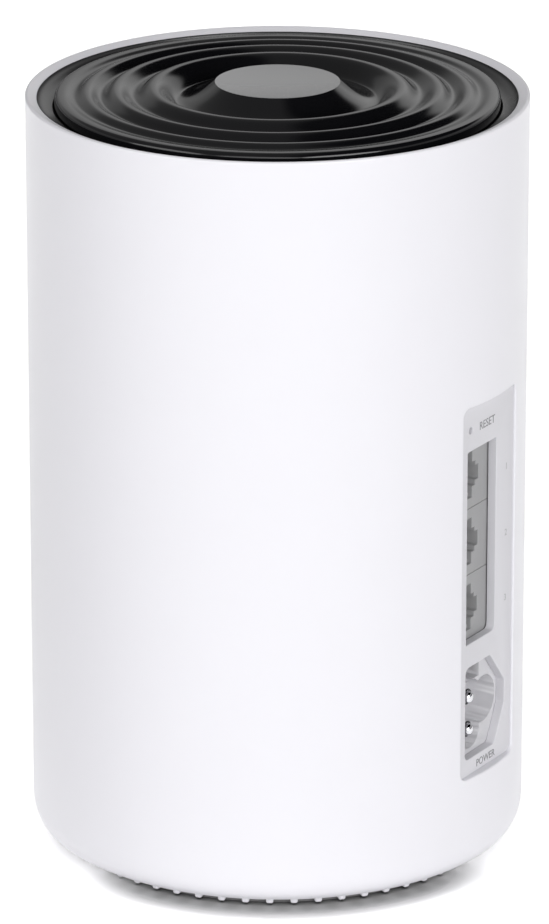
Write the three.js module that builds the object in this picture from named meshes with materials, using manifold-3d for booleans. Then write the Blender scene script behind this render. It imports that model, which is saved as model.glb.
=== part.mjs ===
// Mesh wifi node: a white cylindrical sleeve with a rippled gloss cap, a recessed port bay
// and a ribbed air intake.
// Millimetres, +Z up, table at z = 0, axis of the sleeve on the Z axis, sockets facing +Y.
import * as THREE from "three";
import { mergeVertices } from "three/addons/utils/BufferGeometryUtils.js";
import Module from "manifold-3d";

const wasm = await Module();
wasm.setup();

// Fits shared by all pieces
const clearance = 0.3; // gap between pieces that touch
const overrun = 3; // how far a cut runs past the wall it goes through
const cornerReachShare = 0.45; // most of an edge that the rounding of one corner takes
const screwSlack = 0.3; // gap all round a screw's shank

// Sleeve
const sleeveRadius = 62;
const sleeveWall = 2.4;
const sleeveTop = 193.4;
const sleeveFoot = 3.6; // lower edge above the table
const rimWidth = 3.25; // white ring seen from above
const rimHeight = 1.5; // height of the ring's thick part
const rimFall = 0.95; // inner edge below the outer one
const rimOuterRound = 0.6;
const rimInnerRound = 0.4;
const footCurlRise = 6.8; // height of the rounding at the lower edge
const footCurlInset = 4.2; // how far that rounding draws in

// Window in the sleeve, and the panel that fills it
const panelLeftBand = 3; // panel from the window's edge to the straight side of the cuts
const panelRightBand = 3.3; // from the inlet's cut to the window's other edge
const windowBottom = 28;
const windowRound = 2.2;
const panelRecess = 1.9; // panel face behind the sleeve's outermost line
const panelThickness = 2.4;
const panelEdgeWall = 1.2; // wall of the frame behind the panel, inside the window
const panelFlangeReach = 1.9; // how far the flange reaches past the window
const panelFlangeDepth = 2;

// Three network sockets, stacked on their sides
const jackCount = 3;
const jackPitch = 17.2;
const jackWidth = 16; // along the stack
const jackHeight = 15.2; // off the board
const jackDepth = 21.3;
const jackBoardWall = 1.55; // between the plug opening and the board
const plugWidth = 11.9;
const plugHeight = 6.75;
const plugDepth = 15.5;
const latchWidth = 6.2;
const latchHeight = 1.5;
const latchTipWidth = 3.8;
const latchTipHeight = 1.6;
const portCutWidth = 14.3;
const portInletGap = 6.2; // panel between the sockets' cut and the inlet's
const portTopBand = 11.8; // panel above the sockets' cut
const portLip = 0.1; // how far the panel covers the end of the stack
const contactCount = 8;
const contactPitch = 1.02;
const contactWidth = 0.46;
const contactRise = 3.4; // free end of a contact above its carrier
const contactThickness = 0.4;
const contactRun = 2.8; // strips in front of their carrier
const contactLeanShare = 1.8; // a sloping strip's width along the plug's way, to its thickness
const contactCarrierDepth = 4.2;
const contactCarrierHeight = 1.4;

// Mains inlet
const inletCutBottomRise = 4.4; // above the window's lower edge
const inletCutWidth = 19.6;
const inletCutHeight = 24.3;
const inletUpperCornerWidth = 7.4;
const inletUpperCornerHeight = 8.8;
const inletLowerCornerWidth = 4.9;
const inletLowerCornerHeight = 9.4;
const inletCornerRound = 1.6;
const inletFlangeThickness = 2.3;
const inletFlangeMargin = 1.2;
const pinDiameter = 2.9;
const pinPitch = 8.6;
const pinInset = 6.7; // pins from the cut's straight side
const pinRise = 5.8; // lower pin above the cut's lower edge
const pinSetback = 0.1; // pin tips behind the inlet's face
const pinTail = 2.6; // length behind the housing
const cavityRadius = 4.8;
const cavityDepth = 12;
const cavityWall = 1.4;
const reliefRadius = 6.1; // round relief beside the upper pin
const reliefInset = 0.6; // its edge from the cut's right side
const reliefDrop = 2.3; // below the upper pin
const reliefDepth = 9;
const reliefWall = 1;
const slotWidth = 10.8; // dark slot above the pins
const slotHeight = 4.6;
const slotDrop = 0.7; // below the cut's upper edge

// Reset switch behind its pinhole
const pinholeDiameter = 1.75;
const pinholeDrop = 6.4; // below the window's upper edge
const resetHeight = 2.95; // plunger's middle off the board
const plungerThickness = 2.2;
const plungerWidth = 2.8;
const plungerLength = 5.6;
const plungerSetback = 0.8; // plunger behind the panel's back
const plungerTravel = 0.5;
const switchWidth = 7;
const switchHeight = 5;
const switchDepth = 6.6;
const switchCover = 2.8; // length of plunger outside its body

// Air intake ring under the sleeve
const ribCount = 56;
const ribThickness = 2;
const ribDepth = 2.5;
const ribGap = 0.55; // ribs above the table
const intakeHoopHeight = 2.1;
const intakeHoopWidth = 5.3;

// Foot ring and base cover
const footRingHeight = 1;
const footRingInset = 0.3; // outer edge from the base cover's
const footRingWidth = 7.2;
const footTongueWidth = 3.4;
const footTongueHeight = 1.2;
const baseLandWidth = 1.8; // solid ring outside the tongue's groove
const baseWall = 2;
const baseWallHeight = 7.2;
const baseFloorRise = 2; // floor's underside above the table
const baseThickness = 2.4;

// Inner frame
const frameFloorThickness = 2.4;
const frameRingHeight = 3;
const frameRingWidth = 6;
const frameColumnWidth = 10;
const frameColumnDepth = 3.5;
const frameColumnCount = 4;
const railWidth = 9; // across the board
const railDepth = 6; // along the board
const railGrooveDepth = 2;
const propWidth = 8; // post behind the boards, near the sockets
const propThickness = 4;
const propSetback = 8.6; // post behind the boards' front edge

// Base screws
const screwCount = 4;
const screwCircleShare = 0.72; // of the frame floor's radius
const screwDiameter = 3;
const screwHeadDiameter = 5.6;
const screwHeadHeight = 1.8;
const screwLength = 8;
const screwBossDiameter = 7;
const driveDiameter = 2.4; // round drive recess, half as deep as the head

// Collar between rim and cap
const collarThickness = 0.8;
const collarDip = 3.2; // lowest line of the channel below the rim
const collarDrop = 8.4; // collar's floor below the rim
const collarFloorThickness = 2.4;
const collarShelfWidth = 2.5; // under the cap's edge
const collarHubWidth = 3;
const spokeCount = 12;
const spokeWidth = 1.6;

// Rippled cap: crests and valleys as shares of its radius, and their heights below the flat centre
const capRise = 2.6; // flat centre above the rim
const capGap = 3.95; // between rim and cap, filled by the channel
const capSlot = 0.5; // open slot between the channel's lip and the cap
const capCentreShare = 0.281;
const capCentreRound = 0.5;
const valleyOneShare = 0.4453;
const valleyOneDrop = 4.7;
const crestOneShare = 0.5566;
const crestOneDrop = 1.05;
const valleyTwoShare = 0.6442;
const valleyTwoDrop = 3.2;
const crestTwoShare = 0.7232;
const crestTwoDrop = 1.65;
const valleyThreeShare = 0.7901;
const valleyThreeDrop = 3.5;
const crestThreeShare = 0.8534;
const crestThreeDrop = 2.15;
const valleyFourShare = 0.9106;
const valleyFourDrop = 3.1;
const crestFourInset = 1.1; // outer crest from the cap's edge
const crestFourDrop = 2.7;
const capEdgeRound = 0.6;
const capThickness = 1.8;
const capSkirtHeight = 3.4;
const capStemWidth = 1.8;

// Boards and what stands on them
const boardThickness = 1.6;
const boardFrontSetback = 0.6; // boards behind the panel's flange
const boardSplitDrop = 2.5; // power board's upper edge below the sockets' cut
const boardTopGap = 3.5; // main board's upper edge below the frame ring
const transformerCoreLength = 13;
const transformerCoreWidth = 15.4;
const transformerCoreHeight = 6;
const transformerCoreGap = 2.6; // behind a socket
const processorSize = 19;
const processorHeight = 1.8;
const padSize = 17;
const padHeight = 0.8;
const sinkRearGap = 6.6; // heat sink from the board's rail
const sinkEndGap = 15.5; // heat sink from each end of the main board
const sinkBase = 3;
const sinkFinHeight = 15;
const sinkFinThickness = 1.4;
const sinkFinCount = 9;
const memoryLength = 12;
const memoryWidth = 9;
const memoryHeight = 1.1;
const memoryGap = 6; // from the processor's edge
const shieldCount = 3;
const shieldWidthShare = 0.577; // of the heat sink's length
const shieldEndGap = 5; // outer shields from each end of the main board
const shieldGap = 1;
const shieldHeight = 3.2;
const shieldWall = 0.4;
const spreaderBase = 2;
const spreaderFinHeight = 9;
const spreaderFinCount = 8;
const linkLength = 12;
const linkReach = 4; // over each board
const linkHeight = 8;

// Mains parts on the power board
const chokeSize = 15;
const chokeHeight = 17;
const chokeWindowShare = 0.45; // of the choke's size
const lineCapacitorLength = 9;
const lineCapacitorWidth = 18;
const lineCapacitorHeight = 15;
const fuseDiameter = 5.2;
const fuseLength = 20;
const fuseCapLength = 5;
const fuseNeckShare = 0.86; // glass to end cap diameter
const bulkDiameter = 18;
const bulkHeight = 30;
const bulkCrimpShare = 0.92; // of the can's diameter
const bulkCrimpHeight = 1.6; // of each half of the crimp, and of the seat below it
const coilLength = 25;
const coilWidth = 20;
const coilHeight = 21;
const coilCoreThickness = 6;
const coilFormMargin = 2;
const outputDiameter = 8;
const outputHeight = 14;
const outputCount = 2;
const finPlateThickness = 2;
const finPlateWidth = 17;
const finPlateHeight = 19;
const partGap = 2.2; // between neighbours on the power board

// Antennas on the frame's columns
const antennaWidth = 12;
const antennaHeight = 52;
const antennaThickness = 0.8;
const antennaMiddleShare = 0.62; // of the sleeve's height
const antennaNotchShare = 0.3; // of the antenna's width

// Roundness of turned pieces, in flat faces round the circle
const sleeveFaces = 60;
const ringFaces = 40;
const capFaces = 40;
const smallFaces = 12;
const cornerSteps = 3;
const curlSteps = 4;
const rippleSteps = 2;

// Places that follow from the sizes above
const boreRadius = sleeveRadius - sleeveWall;
const windowWidth = panelLeftBand + inletCutWidth + panelRightBand;
const panelFace = sleeveRadius - panelRecess;
const panelBack = panelFace - panelThickness;
const panelHalf = windowWidth / 2 - clearance;
const flangeHalf = windowWidth / 2 + panelFlangeReach;
const flangeFace = Math.sqrt(boreRadius ** 2 - flangeHalf ** 2) - clearance;
const flangeBack = Math.min(flangeFace, panelBack) - panelFlangeDepth;
const portCutLeft = panelLeftBand - windowWidth / 2;
const inletCutBottom = windowBottom + inletCutBottomRise;
const inletCutTop = inletCutBottom + inletCutHeight;
const portCutBottom = inletCutTop + portInletGap;
const portCutHeight = (jackCount - 1) * jackPitch + jackWidth - 2 * portLip;
const windowTop = portCutBottom + portCutHeight + portTopBand;
const jackFace = panelBack - clearance;
const plugLeft = portCutLeft + clearance;
const jackLeft = plugLeft - jackBoardWall;
const firstJackMiddle = portCutBottom - portLip + jackWidth / 2;
const boardFace = jackLeft - clearance;
const boardFront = flangeBack - boardFrontSetback;
const intakeRadius = boreRadius - footCurlInset - clearance;
const intakeInner = intakeRadius - ribDepth;
const hoopBottom = sleeveFoot + footCurlRise + clearance;
const baseRadius = intakeInner - clearance;
const footRingOuter = baseRadius - footRingInset;
const footRingInner = footRingOuter - footRingWidth;
const tongueOuter = baseRadius - baseLandWidth;
const tongueInner = tongueOuter - footTongueWidth;
const baseFloorTop = baseFloorRise + baseThickness;
const frameFloor = baseFloorTop + clearance;
const frameFloorTop = frameFloor + frameFloorThickness;
const frameRadius = baseRadius - baseWall - clearance;
const boardMiddle = -boardFace + boardThickness / 2;
const railBack = Math.sqrt(frameRadius ** 2 - (boardMiddle + railWidth / 2) ** 2);
const boardRear = railBack - railDepth + railGrooveDepth;
const collarFloor = sleeveTop - collarDrop;
const collarBottom = collarFloor - collarFloorThickness;
const collarOuter = boreRadius - clearance;
const collarInner = collarOuter - collarThickness;
const capRadius = sleeveRadius - rimWidth - capGap;
const capTop = sleeveTop + capRise;
const channelLip = capRadius + capSlot;
const shelfInner = channelLip - collarShelfWidth;
const capCentreRadius = capCentreShare * capRadius;
const stemInner = valleyThreeShare * capRadius + clearance;
const hubOuter = stemInner + capStemWidth + collarHubWidth / 2;
const hubInner = hubOuter - collarHubWidth;
const frameTop = collarBottom - clearance;
const frameRingBottom = frameTop - frameRingHeight;
const mainBoardTop = frameRingBottom - boardTopGap;
const boardSplit = portCutBottom - boardSplitDrop;
const mainBoardBottom = boardSplit + clearance;

const group = new THREE.Group();

// A material of its own for each piece, by the finish's name.
function finish(name) {
  const finishes = {
    whiteShell: { color: 0xf1f1f5, roughness: 0.32, metalness: 0 },
    palePanel: { color: 0xdddde0, roughness: 0.45, metalness: 0 },
    blackGloss: { color: 0x08080a, roughness: 0.08, metalness: 0 },
    blackPlastic: { color: 0x1b1b1d, roughness: 0.55, metalness: 0 },
    rubber: { color: 0x151515, roughness: 0.85, metalness: 0 },
    framePlastic: { color: 0xb9babd, roughness: 0.6, metalness: 0 },
    jackPlastic: { color: 0x6e6e74, roughness: 0.5, metalness: 0 },
    plating: { color: 0xc9ccd1, roughness: 0.22, metalness: 1 },
    gold: { color: 0xd8b25a, roughness: 0.28, metalness: 1 },
    steel: { color: 0x9aa0a6, roughness: 0.35, metalness: 1 },
    aluminium: { color: 0xb4b8bd, roughness: 0.4, metalness: 1 },
    board: { color: 0x0f5a34, roughness: 0.45, metalness: 0 },
    chip: { color: 0x16161a, roughness: 0.5, metalness: 0 },
    pad: { color: 0x8fa3b5, roughness: 0.9, metalness: 0 },
    ferrite: { color: 0x3a3a3d, roughness: 0.7, metalness: 0 },
    film: { color: 0xc9a227, roughness: 0.5, metalness: 0 },
    glass: { color: 0xdfe6e8, roughness: 0.15, metalness: 0 },
    canSleeve: { color: 0x1d2a4a, roughness: 0.4, metalness: 0 },
  };
  return new THREE.MeshStandardMaterial(finishes[name]);
}

// Adds one named piece to a group.
function addPiece(parent, name, geometry, finishName) {
  const mesh = new THREE.Mesh(geometry, finish(finishName));
  mesh.name = name;
  parent.add(mesh);
  return mesh;
}

// A closed geometry as a solid that can be joined and cut.
function solidOf(geometry) {
  const bare = new THREE.BufferGeometry();
  const source = geometry.index ? geometry.toNonIndexed() : geometry;
  bare.setAttribute("position", source.getAttribute("position"));
  const merged = mergeVertices(bare);
  const corners = merged.index.array;
  const kept = [];
  for (let i = 0; i < corners.length; i += 3) {
    const [a, b, c] = [corners[i], corners[i + 1], corners[i + 2]];
    if (a !== b && b !== c && c !== a) kept.push(a, b, c);
  }
  return new wasm.Manifold(
    new wasm.Mesh({
      numProp: 3,
      vertProperties: new Float32Array(merged.attributes.position.array),
      triVerts: new Uint32Array(kept),
    }),
  );
}

// A finished solid as a geometry with one normal to each flat face.
function geometryOf(solid) {
  const mesh = solid.getMesh();
  const geometry = new THREE.BufferGeometry();
  geometry.setAttribute("position", new THREE.BufferAttribute(mesh.vertProperties, 3));
  geometry.setIndex(new THREE.BufferAttribute(mesh.triVerts, 1));
  const flat = geometry.toNonIndexed();
  flat.computeVertexNormals();
  return flat;
}

const join = (solids) => solids.reduce((whole, next) => whole.add(next));
const cut = (whole, tools) => tools.reduce((rest, tool) => rest.subtract(tool), whole);

// A profile of [radius, height] points turned round the Z axis.
function turned(profile, faces) {
  const points = profile.map(([r, z]) => new THREE.Vector2(r, z));
  const closed = points[0].x !== 0 || points[points.length - 1].x !== 0;
  if (THREE.ShapeUtils.area(points) < 0) points.reverse();
  if (closed) points.push(points[0].clone());
  return solidOf(new THREE.LatheGeometry(points, faces).rotateX(Math.PI / 2));
}

// A ring between two radii and two heights.
function ring(inner, outer, bottom, top, faces) {
  return turned([[inner, bottom], [outer, bottom], [outer, top], [inner, top]], faces);
}

// A disc or rod on the Z axis.
function rod(radius, bottom, top, faces) {
  return turned([[0, bottom], [radius, bottom], [radius, top], [0, top]], faces);
}

// A block given by its lowest and highest corners.
function block(low, high) {
  const size = high.map((value, axis) => value - low[axis]);
  const geometry = new THREE.BoxGeometry(...size);
  return solidOf(geometry.translate(...low.map((value, axis) => value + size[axis] / 2)));
}

// An outline of [x, y] points as a plate from one height to another.
function plate(outline, bottom, top) {
  const shape = new THREE.Shape(outline.map(([x, y]) => new THREE.Vector2(x, y)));
  const geometry = new THREE.ExtrudeGeometry(shape, { depth: top - bottom, bevelEnabled: false });
  return solidOf(geometry.translate(0, 0, bottom));
}

// The corners of an outline, each rounded by an arc.
function rounded(corners, radius) {
  const outline = [];
  corners.forEach(([x, y], i) => {
    const corner = new THREE.Vector2(x, y);
    const [before, after] = [corners.at(i - 1), corners[(i + 1) % corners.length]];
    const toBefore = new THREE.Vector2(...before).sub(corner);
    const toAfter = new THREE.Vector2(...after).sub(corner);
    const shortest = Math.min(toBefore.length(), toAfter.length());
    const half = Math.acos(toBefore.normalize().dot(toAfter.normalize())) / 2;
    const reach = Math.min(radius / Math.tan(half), shortest * cornerReachShare);
    const arcRadius = reach * Math.tan(half);
    const middle = toBefore.clone().add(toAfter).normalize();
    const centre = corner.clone().addScaledVector(middle, arcRadius / Math.sin(half));
    const start = corner.clone().addScaledVector(toBefore, reach).sub(centre);
    const end = corner.clone().addScaledVector(toAfter, reach).sub(centre);
    const turn = Math.atan2(start.cross(end), start.dot(end));
    for (let step = 0; step <= cornerSteps; step++) {
      const point = start.clone().rotateAround(new THREE.Vector2(), (turn * step) / cornerSteps);
      outline.push([centre.x + point.x, centre.y + point.y]);
    }
  });
  return outline;
}

const rectangle = (left, bottom, right, top) => [
  [left, bottom],
  [right, bottom],
  [right, top],
  [left, top],
];

// Copies of a solid, evenly spaced round the Z axis.
function around(solid, count) {
  const degrees = 360 / count;
  return Array.from({ length: count }, (_, i) => solid.rotate([0, 0, degrees * i]));
}

// Frame of the port bay: x to the right as seen from outside, y up, z outwards from the sleeve's axis.
const portBay = new THREE.Group();
portBay.rotation.set(Math.PI / 2, 0, Math.PI, "ZYX");
group.add(portBay);
const bayTurn = new THREE.Matrix4().makeRotationFromEuler(portBay.rotation);
const inBay = (solid) => solid.transform(bayTurn.elements);

// Frame of the boards: x from the sockets towards the back, y up, z off the boards' faces.
const boardBay = new THREE.Group();
boardBay.rotation.set(Math.PI / 2, 0, -Math.PI / 2, "ZYX");
boardBay.position.set(-boardFace, 0, 0);
group.add(boardBay);

// Sleeve: rounded rim, thin wall and a lower edge that draws in on a quarter ellipse.
function makeSleeve() {
  const outerCurl = [];
  const innerCurl = [];
  for (let step = 0; step <= curlSteps; step++) {
    const angle = (Math.PI / 2) * (step / curlSteps);
    const inset = footCurlInset * (1 - Math.sin(angle));
    const height = sleeveFoot + footCurlRise * (1 - Math.cos(angle));
    outerCurl.push([sleeveRadius - inset, height]);
    if (step % 2 === 0) innerCurl.unshift([boreRadius - inset, height]);
  }
  const rimInner = sleeveRadius - rimWidth;
  const rimArc = [];
  for (let step = 0; step <= cornerSteps; step++) {
    const angle = (Math.PI / 2) * (step / cornerSteps);
    const reach = rimOuterRound * (1 - Math.cos(angle));
    rimArc.push([sleeveRadius - reach, sleeveTop - rimOuterRound * (1 - Math.sin(angle))]);
  }
  const profile = [
    ...outerCurl,
    ...rimArc,
    [rimInner + rimInnerRound, sleeveTop - rimFall],
    [rimInner, sleeveTop - rimFall - rimInnerRound],
    [rimInner, sleeveTop - rimHeight],
    [boreRadius, sleeveTop - rimHeight],
    ...innerCurl,
  ];
  const corners = rectangle(-windowWidth / 2, windowBottom, windowWidth / 2, windowTop);
  const opening = plate(rounded(corners, windowRound), boreRadius / 2, sleeveRadius + overrun);
  return cut(turned(profile, sleeveFaces), [inBay(opening)]);
}
addPiece(group, "outer_shell", geometryOf(makeSleeve()), "whiteShell");

// Cap: a flat centre that falls off steeply, and rings that swing between the named crests and valleys
// as half cosine waves.
function makeCap() {
  const capEdgeTop = capTop - crestFourDrop;
  const turns = [
    [capCentreRadius, 0],
    [valleyOneShare * capRadius, valleyOneDrop],
    [crestOneShare * capRadius, crestOneDrop],
    [valleyTwoShare * capRadius, valleyTwoDrop],
    [crestTwoShare * capRadius, crestTwoDrop],
    [valleyThreeShare * capRadius, valleyThreeDrop],
    [crestThreeShare * capRadius, crestThreeDrop],
    [valleyFourShare * capRadius, valleyFourDrop],
    [capRadius - crestFourInset, crestFourDrop],
  ];
  const crown = [];
  turns.slice(1).forEach(([radius, drop], i) => {
    const [startRadius, startDrop] = turns[i];
    for (let step = 0; step < rippleSteps; step++) {
      const share = step / rippleSteps;
      const halfWave = (1 - Math.cos(Math.PI * share)) / 2;
      const swing = i === 0 ? Math.sin((Math.PI / 2) * share) : halfWave;
      const r = startRadius + (radius - startRadius) * share;
      crown.push([r, capTop - startDrop - (drop - startDrop) * swing]);
    }
  });
  crown.push([capRadius - crestFourInset, capEdgeTop]);
  const valleys = turns.filter((_, i) => i % 2 === 1);
  const under = valleys.map(([r, drop]) => [r, capTop - drop - capThickness]).reverse();
  const skirtInner = capRadius - capThickness;
  const skirtBottom = capEdgeTop - capSkirtHeight;
  const stemOuter = stemInner + capStemWidth;
  const stemBottom = collarFloor + clearance;
  const stemRoot = capTop - valleyThreeDrop - capThickness / 2;
  const shell = turned(
    [
      [0, capTop],
      [capCentreRadius - capCentreRound, capTop],
      ...crown,
      [capRadius - capEdgeRound, capEdgeTop - capEdgeRound / 2],
      [capRadius, capEdgeTop - capEdgeRound * 2],
      [capRadius, skirtBottom],
      [skirtInner, skirtBottom],
      [skirtInner, under[0][1]],
      ...under,
      [capCentreRadius, capTop - capThickness],
      [0, capTop - capThickness],
    ].reverse(),
    capFaces,
  );
  return join([shell, ring(stemInner, stemOuter, stemBottom, stemRoot, capFaces)]);
}
addPiece(group, "top_cap", geometryOf(makeCap()), "blackGloss");

// Collar: a dark channel that curves in from the rim to a lip beside the cap, a shelf below the slot,
// and spokes to the hub that carries the cap.
function makeCollar() {
  const collarTop = sleeveTop - rimHeight - clearance;
  const channelDepth = collarTop - (sleeveTop - collarDip);
  const channel = [];
  for (let step = 0; step <= curlSteps; step++) {
    const angle = (Math.PI / 2) * (step / curlSteps);
    const reach = (collarInner - channelLip) * (1 - Math.cos(angle));
    channel.push([collarInner - reach, collarTop - channelDepth * Math.sin(angle)]);
  }
  const body = turned(
    [
      [shelfInner, collarBottom],
      [collarOuter, collarBottom],
      [collarOuter, collarTop],
      ...channel,
      [channelLip, collarFloor],
      [shelfInner, collarFloor],
    ],
    ringFaces,
  );
  const hub = ring(hubInner, hubOuter, collarBottom, collarFloor, ringFaces);
  const spoke = block(
    [(hubInner + hubOuter) / 2, -spokeWidth / 2, collarBottom],
    [(shelfInner + channelLip) / 2, spokeWidth / 2, collarFloor],
  );
  return join([body, hub, ...around(spoke, spokeCount)]);
}
addPiece(group, "vent_collar", geometryOf(makeCollar()), "blackGloss");

// Air intake: radial ribs hung from a hoop inside the sleeve's lower edge.
function makeIntake() {
  const hoopTop = hoopBottom + intakeHoopHeight;
  const hoopOuter = boreRadius - clearance;
  const hoop = ring(hoopOuter - intakeHoopWidth, hoopOuter, hoopBottom, hoopTop, ribCount);
  const rib = block(
    [intakeInner, -ribThickness / 2, ribGap],
    [intakeRadius, ribThickness / 2, hoopBottom + intakeHoopHeight / 2],
  );
  return join([hoop, ...around(rib, ribCount)]).rotate([0, 0, 180 / ribCount]);
}
addPiece(group, "intake_grille", geometryOf(makeIntake()), "whiteShell");

// Foot ring: a flat rubber ring with a tongue that seats in the base cover.
const footRing = turned(
  [
    [footRingInner, 0],
    [footRingOuter, 0],
    [footRingOuter, footRingHeight],
    [tongueOuter - clearance, footRingHeight],
    [tongueOuter - clearance, footRingHeight + footTongueHeight],
    [tongueInner + clearance, footRingHeight + footTongueHeight],
    [tongueInner + clearance, footRingHeight],
    [footRingInner, footRingHeight],
  ],
  ringFaces,
);
addPiece(group, "foot_ring", geometryOf(footRing), "rubber");

// Screw places round the base, turned half a step away from the board's rail.
const screwCircle = frameRadius * screwCircleShare;
const screwPlaces = Array.from({ length: screwCount }, (_, i) => {
  const angle = (2 * Math.PI * (i + 1 / 2)) / screwCount;
  return [screwCircle * Math.cos(angle), screwCircle * Math.sin(angle)];
});
const screwHeadTop = baseFloorRise - clearance + screwHeadHeight;
const counterboreTop = screwHeadTop + clearance;

// Base cover: a dished black disc with a groove for the foot ring and a counterbore for each screw.
function makeBase() {
  const landBottom = footRingHeight + clearance;
  const grooveTop = landBottom + footTongueHeight;
  const bossBottom = landBottom;
  const bossRadius = screwHeadDiameter / 2 + screwSlack + baseWall;
  const profile = [
    [0, baseFloorRise],
    [tongueInner - baseWall, baseFloorRise],
    [tongueInner - baseWall, landBottom],
    [tongueInner, landBottom],
    [tongueInner, grooveTop],
    [tongueOuter, grooveTop],
    [tongueOuter, landBottom],
    [baseRadius, landBottom],
    [baseRadius, landBottom + baseWallHeight],
    [baseRadius - baseWall, landBottom + baseWallHeight],
    [baseRadius - baseWall, baseFloorTop],
    [0, baseFloorTop],
  ];
  const bosses = screwPlaces.map(([x, y]) =>
    rod(bossRadius, bossBottom, baseFloorTop, smallFaces).translate([x, y, 0]),
  );
  const holes = screwPlaces.flatMap(([x, y]) => [
    rod(screwHeadDiameter / 2 + screwSlack, -overrun, counterboreTop, smallFaces).translate([x, y, 0]),
    rod(screwDiameter / 2 + screwSlack, 0, frameTop, smallFaces).translate([x, y, 0]),
  ]);
  return cut(join([turned(profile, ringFaces), ...bosses]), holes);
}
addPiece(group, "base_cover", geometryOf(makeBase()), "blackPlastic");

// Base screws: pan heads with a round drive recess, up into the frame's floor.
screwPlaces.forEach(([x, y], i) => {
  const headBottom = screwHeadTop - screwHeadHeight;
  const screw = turned(
    [
      [0, headBottom + screwHeadHeight / 2],
      [driveDiameter / 2, headBottom + screwHeadHeight / 2],
      [driveDiameter / 2, headBottom],
      [screwHeadDiameter / 2, headBottom],
      [screwHeadDiameter / 2, screwHeadTop],
      [screwDiameter / 2, screwHeadTop],
      [screwDiameter / 2, screwHeadTop + screwLength],
      [0, screwHeadTop + screwLength],
    ],
    smallFaces,
  );
  const mesh = addPiece(group, "base_screw_" + (i + 1), geometryOf(screw), "steel");
  mesh.position.set(x, y, 0);
});

// Inner frame: floor, columns for the antennas, a grooved rail and a post for the boards, and a top ring.
function makeFrame() {
  const bossTop = screwHeadTop + screwLength + baseWall;
  const floor = rod(frameRadius, frameFloor, frameFloorTop, ringFaces);
  const crownRing = ring(frameRadius - frameRingWidth, frameRadius, frameRingBottom, frameTop, ringFaces);
  const columnOuter = Math.sqrt(frameRadius ** 2 - (frameColumnWidth / 2) ** 2);
  const column = block(
    [columnOuter - frameColumnDepth, -frameColumnWidth / 2, frameFloorTop - frameFloorThickness / 2],
    [columnOuter, frameColumnWidth / 2, frameTop - frameRingHeight / 2],
  );
  const columns = around(column, frameColumnCount).map((one) => one.rotate([0, 0, 180 / frameColumnCount]));
  const railTop = frameTop - frameRingHeight / 2;
  const railBottom = frameFloorTop - frameFloorThickness / 2;
  const rail = block(
    [boardMiddle - railWidth / 2, -railBack, railBottom],
    [boardMiddle + railWidth / 2, -railBack + railDepth, railTop],
  );
  const groove = block(
    [boardMiddle - boardThickness / 2 - clearance, -boardRear - clearance, frameFloorTop],
    [boardMiddle + boardThickness / 2 + clearance, -railBack + railDepth + overrun, frameTop + overrun],
  );
  const propBack = -boardFace + boardThickness + clearance;
  const propFront = boardFront - propSetback;
  const prop = block(
    [propBack, propFront - propWidth, railBottom],
    [propBack + propThickness, propFront, railTop],
  );
  const bosses = screwPlaces.map(([x, y]) =>
    rod(screwBossDiameter / 2, frameFloor, bossTop, smallFaces).translate([x, y, 0]),
  );
  const holes = screwPlaces.map(([x, y]) =>
    rod(screwDiameter / 2 + screwSlack, 0, bossTop - baseWall + clearance, smallFaces).translate([x, y, 0]),
  );
  return cut(join([floor, crownRing, ...columns, rail, prop, ...bosses]), [groove, ...holes]);
}
addPiece(group, "inner_frame", geometryOf(makeFrame()), "framePlastic");

// Antennas: thin plates with a notch, flat against the outside of the frame's columns.
const columnFace = Math.sqrt(frameRadius ** 2 - (frameColumnWidth / 2) ** 2) + clearance;
for (let i = 0; i < frameColumnCount; i++) {
  const middle = sleeveTop * antennaMiddleShare;
  const notch = antennaWidth * antennaNotchShare;
  const sheet = block(
    [columnFace, -antennaWidth / 2, middle - antennaHeight / 2],
    [columnFace + antennaThickness, antennaWidth / 2, middle + antennaHeight / 2],
  );
  const opening = block(
    [columnFace - overrun, -notch / 2, middle],
    [columnFace + antennaThickness + overrun, antennaWidth / 2 + overrun, middle + notch],
  );
  const antenna = addPiece(group, "antenna_" + (i + 1), geometryOf(cut(sheet, [opening])), "board");
  antenna.rotation.z = (Math.PI * (2 * i + 1)) / frameColumnCount;
}

// Outline of the inlet's cut: straight on the left, two sloped corners on the right.
const inletCutRight = portCutLeft + inletCutWidth;
const inletOutline = [
  [portCutLeft, inletCutBottom],
  [inletCutRight - inletLowerCornerWidth, inletCutBottom],
  [inletCutRight, inletCutBottom + inletLowerCornerHeight],
  [inletCutRight, inletCutTop - inletUpperCornerHeight],
  [inletCutRight - inletUpperCornerWidth, inletCutTop],
  [portCutLeft, inletCutTop],
];

// Port panel: a thin face that fills the window, with a flanged frame behind the sleeve's wall.
function makePanel() {
  const face = rounded(
    rectangle(-panelHalf, windowBottom + clearance, panelHalf, windowTop - clearance),
    windowRound - clearance,
  );
  const flange = rounded(
    rectangle(-flangeHalf, windowBottom - panelFlangeReach, flangeHalf, windowTop + panelFlangeReach),
    windowRound,
  );
  const inside = panelHalf - panelEdgeWall;
  const hollow = rectangle(
    -inside,
    windowBottom + clearance + panelEdgeWall,
    inside,
    windowTop - clearance - panelEdgeWall,
  );
  const ports = rectangle(
    portCutLeft,
    portCutBottom,
    portCutLeft + portCutWidth,
    portCutBottom + portCutHeight,
  );
  const pinhole = rod(pinholeDiameter / 2, flangeBack, panelFace + overrun, smallFaces);
  const solids = join([
    plate(face, flangeBack, panelFace),
    plate(flange, flangeBack, Math.min(flangeFace, panelBack)),
  ]);
  return cut(solids, [
    plate(hollow, flangeBack - overrun, panelBack),
    plate(rounded(ports, portLip), flangeBack, panelFace + overrun),
    plate(rounded(inletOutline, inletCornerRound), flangeBack, panelFace + overrun),
    pinhole.translate([boardFace + resetHeight, windowTop - pinholeDrop, 0]),
  ]);
}
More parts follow.
